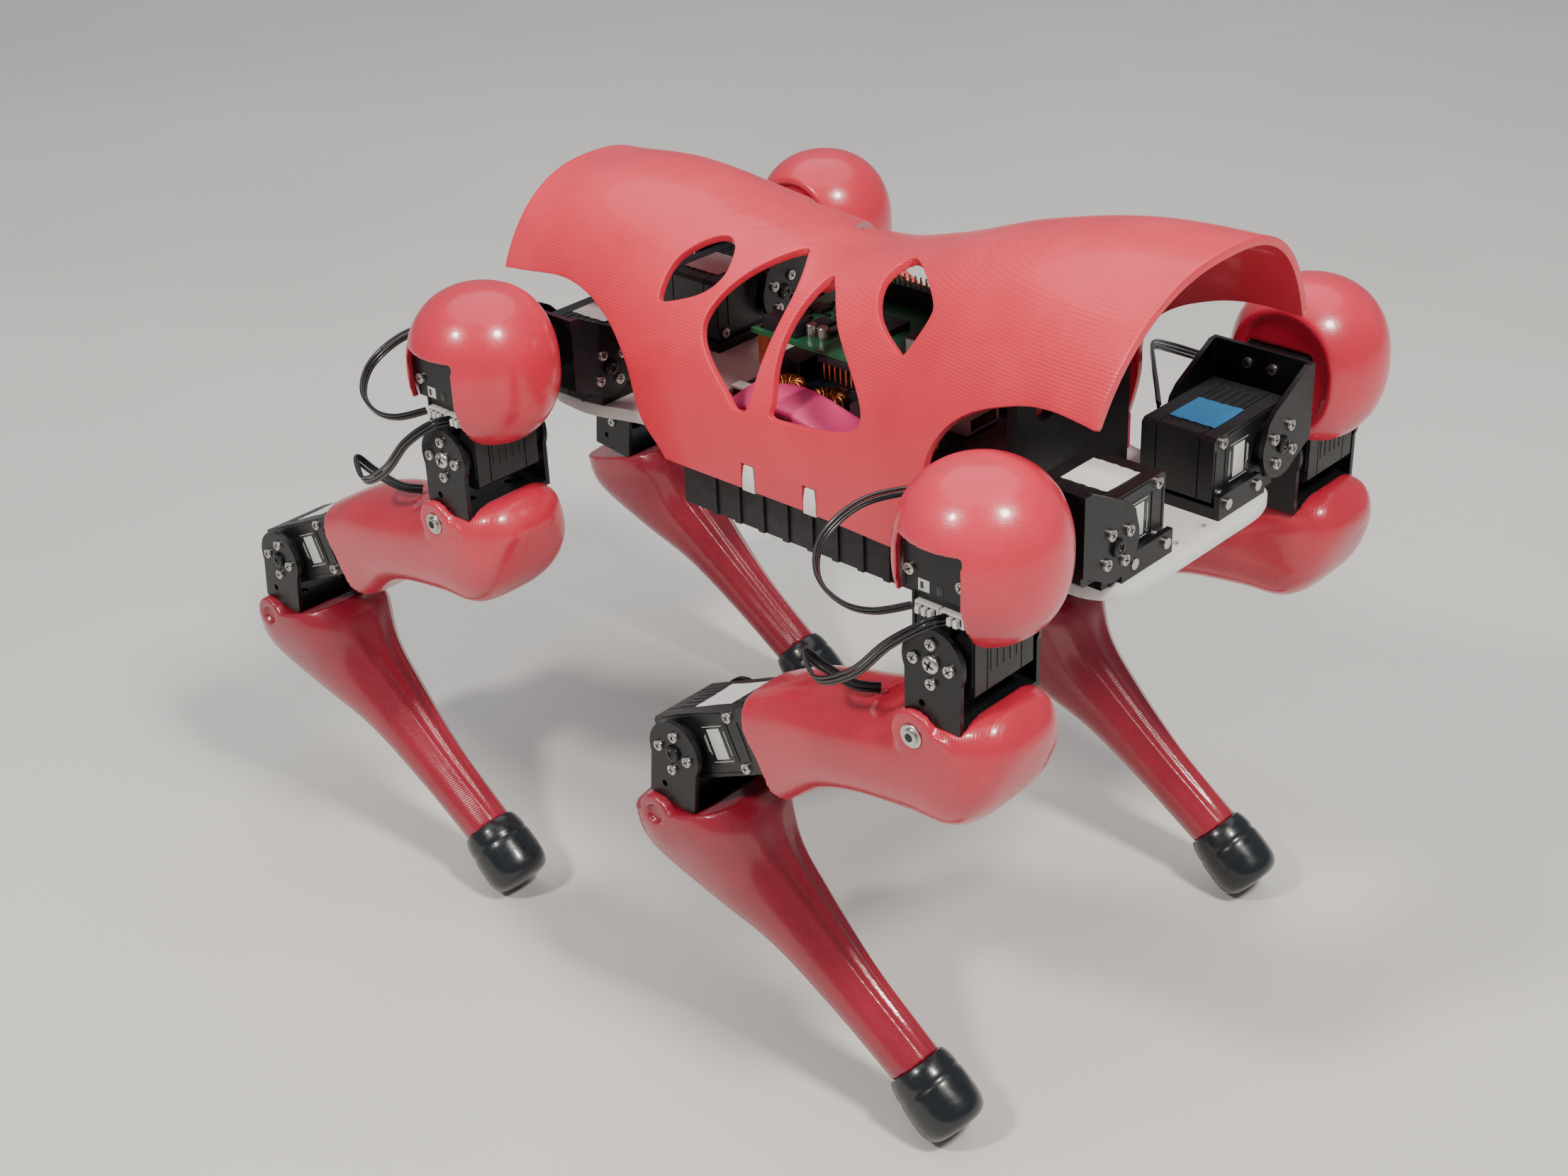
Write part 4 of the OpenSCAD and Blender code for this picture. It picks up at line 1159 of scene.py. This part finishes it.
def dress(node, mats, choose, bevel=0.35):
    """Gives each loose part of a CAD node its material, and rounds its edges."""
    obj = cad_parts[node]
    mesh = obj.data
    mesh.materials.clear()
    for mat in mats:
        mesh.materials.append(M[mat])
    for faces, low, high in islands(mesh):
        index = choose(sorted(high - low), low, high)
        for face in faces:
            face.material_index = index
    mesh.shade_smooth()
    mesh.set_sharp_from_angle(angle=math.radians(32))
    if bevel:
        mod = obj.modifiers.new("edges", "BEVEL")
        mod.width = bevel * MM
        mod.segments = 2
        mod.limit_method = "ANGLE"
        mod.angle_limit = math.radians(38)
        mod.harden_normals = False


def is_screw(size, low, high):
    return 1 if size[2] < 6.5 and size[0] < 1.3 else 0


def dress_nodes():
    for leg in LEGS:
        for part in ("_shoulder_servo", "_hip_servo", "_knee_servo"):
            dress(leg + part, ["servo", "steel"], is_screw)
        for part in ("_shoulder_bracket", "_hip_bracket", "_knee_bracket"):
            dress(leg + part, ["bracket", "steel"], is_screw)
    dress("servo_cradles", ["bracket"], lambda *_: 0)
    dress("chassis_screws", ["steel", "brass"], lambda size, *_: 1 if size[2] > 6 else 0, 0.2)
    dress("battery_case", ["matt_black"], lambda *_: 0, 0.6)
    dress("battery_cells", ["cell"], lambda *_: 0, 0.8)
    dress("front_panel", ["matt_black"], lambda *_: 0, 0.4)

    def board_part(size, low, high):
        if size[0] < 2 and size[2] > 80:
            return 0
        if size[2] < 18 and size[2] > 16:
            return 1
        return 2
    dress("computer_board", ["green", "port", "matt_black"], board_part, 0.2)

    def driver_part(size, low, high):
        if size[0] < 2:
            return 0
        return 1 if abs(size[2] - size[1]) < 0.5 and size[2] > 13 else 2
    dress("driver_board", ["board_black", "copper", "matt_black"], driver_part, 0.2)


dress_nodes()


# ---- plate, boards and what shows through the windows ----

PLATE_HALF = [(-137, 0), (-137, -34), (-133, -44), (-124, -50), (-104, -51), (-94, -47), (-80, -44),
              (-72, -47), (-62, -55), (-50, -57.5), (50, -57.5), (62, -55), (72, -47), (80, -44),
              (94, -47), (104, -51), (124, -50), (133, -44), (137, -34), (137, 0)]


def make_plate():
    corners = PLATE_HALF + [(x, -y) for x, y in PLATE_HALF[-2:0:-1]]
    outline = closed_curve(even_steps(corners, 9.0, closed=True), 5)
    build = Build()
    build.prism(outline, PLATE_LOW, PLATE_TOP, HERE, "white", 0.9)
    obj = make_object("chassis_sheet", build.bm, ["white"], 0)
    tools = []
    for x in (-130, 130):
        for y in (-8, 8):
            tools.append(solid_rod(1.6, -20, 20, shift(x, y, PLATE_TOP) @ spin(90, "X"), 32))
    for x in (-60, 60):
        tools.append(solid_box((x - 4, -20, 190), (x + 4, 20, 230)))
    carve(obj, tools)
    tabs = Build()
    for x in NOTCH_X:
        for side in (-1, 1):
            tabs.prism([(x - 3, PLATE_LOW + 0.3), (x + 3, PLATE_LOW + 0.3), (x + 3, PLATE_TOP - 0.5),
                        (x + 2.3, PLATE_TOP + 4.9), (x - 2.0, PLATE_TOP + 4.9), (x - 3, PLATE_TOP - 0.5)],
                       -side * 61 if side > 0 else 57, -side * 57 if side > 0 else 61,
                       spin(90, "X"), "white", 0.35)
    part = make_object("tabs", tabs.bm, ["white"], 0)
    for piece, name in ((obj, "smooth_chassis_plate"), (part, "shell_locating_tabs")):
        piece.data.transform(ROW)
        piece.name = name
        piece.data.shade_smooth()
        piece.data.set_sharp_from_angle(angle=math.radians(35))
        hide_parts("chassis_plate")
        finish_piece(piece, "chassis")


def coil(build, at, radius, tube, turns, height):
    """Copper wire wound round a flat ring core."""
    steps = turns * 14
    ring = []
    for i in range(steps):
        a = 2 * math.pi * i / steps
        b = 2 * math.pi * turns * i / steps
        r = radius + tube * math.cos(b)
        ring.append(Vector((r * math.cos(a), r * math.sin(a), height / 2 + 0.5 * height * math.sin(b))))
    part = bmesh.new()
    loops = []
    for i, p in enumerate(ring):
        along = (ring[(i + 1) % steps] - ring[i - 1]).normalized()
        u = along.cross(Vector((0.1, 0.2, 1))).normalized()
        w = along.cross(u)
        loops.append(ring_round(part, p, u, w, 0.42, 6))
    bridge(part, loops, closed=True)
    build.add(part, at, "copper")


def chips(build, rng, area, level, sign, count, sizes, mats):
    """Small parts scattered over a board without overlap."""
    placed = []
    tries = 0
    while len(placed) < count and tries < 600:
        tries += 1
        w, d, h = rng.choice(sizes)
        x = rng.uniform(area[0] + w / 2, area[2] - w / 2)
        y = rng.uniform(area[1] + d / 2, area[3] - d / 2)
        if any(abs(x - px) < (w + pw) / 2 + 0.6 and abs(y - py) < (d + pd) / 2 + 0.6
               for px, py, pw, pd in placed):
            continue
        placed.append((x, y, w, d))
        z0, z1 = (level, level + h) if sign > 0 else (level - h, level)
        build.box((x - w / 2, y - d / 2, z0), (x + w / 2, y + d / 2, z1), Matrix(), rng.choice(mats), 0.12)


PIN_PITCH = 2.54
PIN_HALF = 0.32
CHIP_SIZES = [(1.6, 0.9, 0.7), (2.4, 1.4, 0.9), (5, 5, 1.1), (3.2, 6, 1.3), (7, 7, 1.2)]


def pin(build, x, y, low, high):
    build.box((x - PIN_HALF, y - PIN_HALF, low), (x + PIN_HALF, y + PIN_HALF, high), HERE, "brass", 0.1)


def computer_details(rng):
    low = COMPUTER_Z
    top = low + BOARD_THICK
    build = Build()
    chips(build, rng, (-36, -16, -12, 18), top, 1, 22, CHIP_SIZES,
          ["matt_black", "matt_black", "port", "matt_black"])
    chips(build, rng, (-38, -25, 42, 22), low, -1, 46, CHIP_SIZES,
          ["matt_black", "matt_black", "port", "brass"])
    # header pins above and below the board
    for i in range(20):
        for y in (22.3, 24.9):
            pin(build, -30.0 + PIN_PITCH * i, y, top + 7.4, top + 11.2)
    for i in range(12):
        for y in (-26.88, -24.38):
            pin(build, -6.0 + PIN_PITCH * i, y, low - 9.5, low + 0.4)
    build.box((-8, -28.2, low - 3.2), (24, -23.0, low - 0.4), HERE, "matt_black", 0.3)
    # the port openings are near-black slabs: painted shade, not cuts
    for y in (-18, 0, 18):
        build.box((44.6, y - 5.8, top + 1.6), (45.4, y + 5.8, top + 11.4), shift(2, 0, 0), "recess", 0.2)
    for x in (-18, -12.5):
        build.lathe([(2.2, 0), (2.2, 4.2), (1.9, 4.6), (0, 4.6)], shift(x, -20, top), "steel", 24)
    build.box((-34, -12, top), (-33, -10, top + 0.8), HERE, "green_lamp", 0.2)
    build.box((-34, -8, top), (-33, -6, top + 0.8), HERE, "red_lamp", 0.2)
    build.done("computer_board_parts", ROW, "chassis", "green_board")


def driver_details(rng):
    top = DRIVER_Z + BOARD_THICK
    build = Build()
    chips(build, rng, (-30, -14, 14, 14), top, 1, 24, CHIP_SIZES,
          ["matt_black", "steel", "matt_black"])
    for x in (-26, -6):
        for y in (-26, 26):
            coil(build, shift(x, y, top + 0.3), 5.0, 2.6, 15, 8.4)
    for s in (-1, 1):
        for k in range(3):
            x = 9 * k
            build.box((x - 44, s * 33.5 - 2.6, top), (x - 37, s * 33.5 + 2.6, top + 5.6), HERE,
                      "connector", 0.4)
            # the connector mouths are near-black boxes: painted shade, not cuts
            build.box((x - 43, s * 36 - 0.4, top + 1.4), (x - 38, s * 36 + 0.4, top + 4.6), HERE,
                      "recess", 0.1)
        for k in range(3):
            at = shift(2 + 8 * k, s * 18, top)
            build.lathe([(3.1, 0), (3.1, 9.5), (2.8, 10), (0, 10)], at, "matt_black", 28)
            build.lathe([(2.5, 10), (2.5, 10.15), (0, 10.15)], at, "steel", 28)
    build.box((30, -9, top), (44, 9, top + 7), HERE, "connector", 0.5)
    # the big connector's mouth is a near-black box: painted shade, not a cut
    build.box((43.6, -7, top + 1.5), (44.4, 7, top + 5.6), HERE, "recess", 0.1)
    build.done("driver_board_parts", ROW, "chassis", "black_board")


def tray():
    """Printed tray: an open frame on the plate, arched saddles at the sides, uprights for the boards."""
    build = Build()
    floor = PLATE_TOP + 0.02
    for side in (-1, 1):
        build.box((-62, side * 44 - 6, floor), (62, side * 44 + 6, floor + 3), HERE, "pink", 1.2, 3)
        build.box((side * 56 - 6, -40, floor), (side * 56 + 6, 40, floor + 3), HERE, "pink", 1.2, 3)
        build.box((-78, side * 40 - 3, floor), (-59, side * 40 + 3, floor + 9), HERE, "pink", 1.0, 3)
        build.box((58, side * 40 - 3, floor), (77, side * 40 + 3, floor + 14), HERE, "pink", 1.0, 3)
        part = bmesh.new()
        rows = []
        for i in range(49):
            u = i / 48
            x = -34 + 70 * u
            wave = math.sin(math.pi * u) ** 0.8
            z_mid = floor + 13.5 + 8.5 * wave + 2.4 * math.sin(2 * math.pi * u)
            half = 8.0 + 2.0 * (1 - wave)
            thick = 2.2 + 5.5 * (1 - wave) ** 2
            row = []
            for a in turns(20):
                q = superellipse(a, half, thick, 4.5)
                row.append(part.verts.new((x, side * 40.5 + q[0], z_mid + q[1] - 0.16 * side * q[0])))
            rows.append(row)
        bridge(part, rows)
        build.add(part, HERE, "pink")
        for x in (-31, 33):
            build.prism([(x - 7, floor + 1), (x + 7, floor + 1), (x + 4.5, floor + 15),
                         (x - 4.5, floor + 15)], -side * 40 - 5, -side * 40 + 5, spin(90, "X"), "pink", 1.2)
        build.prism([(-12, floor + 1), (16, floor + 1), (13, floor + 7), (2, floor + 8.5), (-10, floor + 6)],
                    -side * 43 - 4, -side * 43 + 4, spin(90, "X"), "pink", 1.2)
    piece = build.done("electronics_tray_frame", ROW, "chassis", "pink_plastic", 50)
    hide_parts("electronics_tray")


def front_sensor():
    """Small board under the shell's front lip, with its pins."""
    build = Build()
    at = shift(107, -16, 287) @ spin(-24, "X") @ spin(12, "Y")
    build.box((-7, -9, -1), (7, 9, 0.6), at, "board_black", 0.2)
    build.box((-5, -6, -5.2), (5, 5, -1), at, "matt_black", 0.5)
    for k in range(5):
        build.box((-5 + 2.5 * k - 0.3, 7.2, -5), (-5 + 2.5 * k + 0.3, 7.8, 1.4), at, "brass", 0.1)
    build.box((-3, -10.6, -3.6), (3, -9, -1), at, "green", 0.3)
    build.box((-8, -8, 0.6), (8, 8, 14), at, "matt_black", 0.6)
    build.done("front_sensor_board", ROW, "chassis", "black_board")


make_plate()
board_rng = random.Random(11)
computer_details(board_rng)
driver_details(board_rng)
tray()
front_sensor()
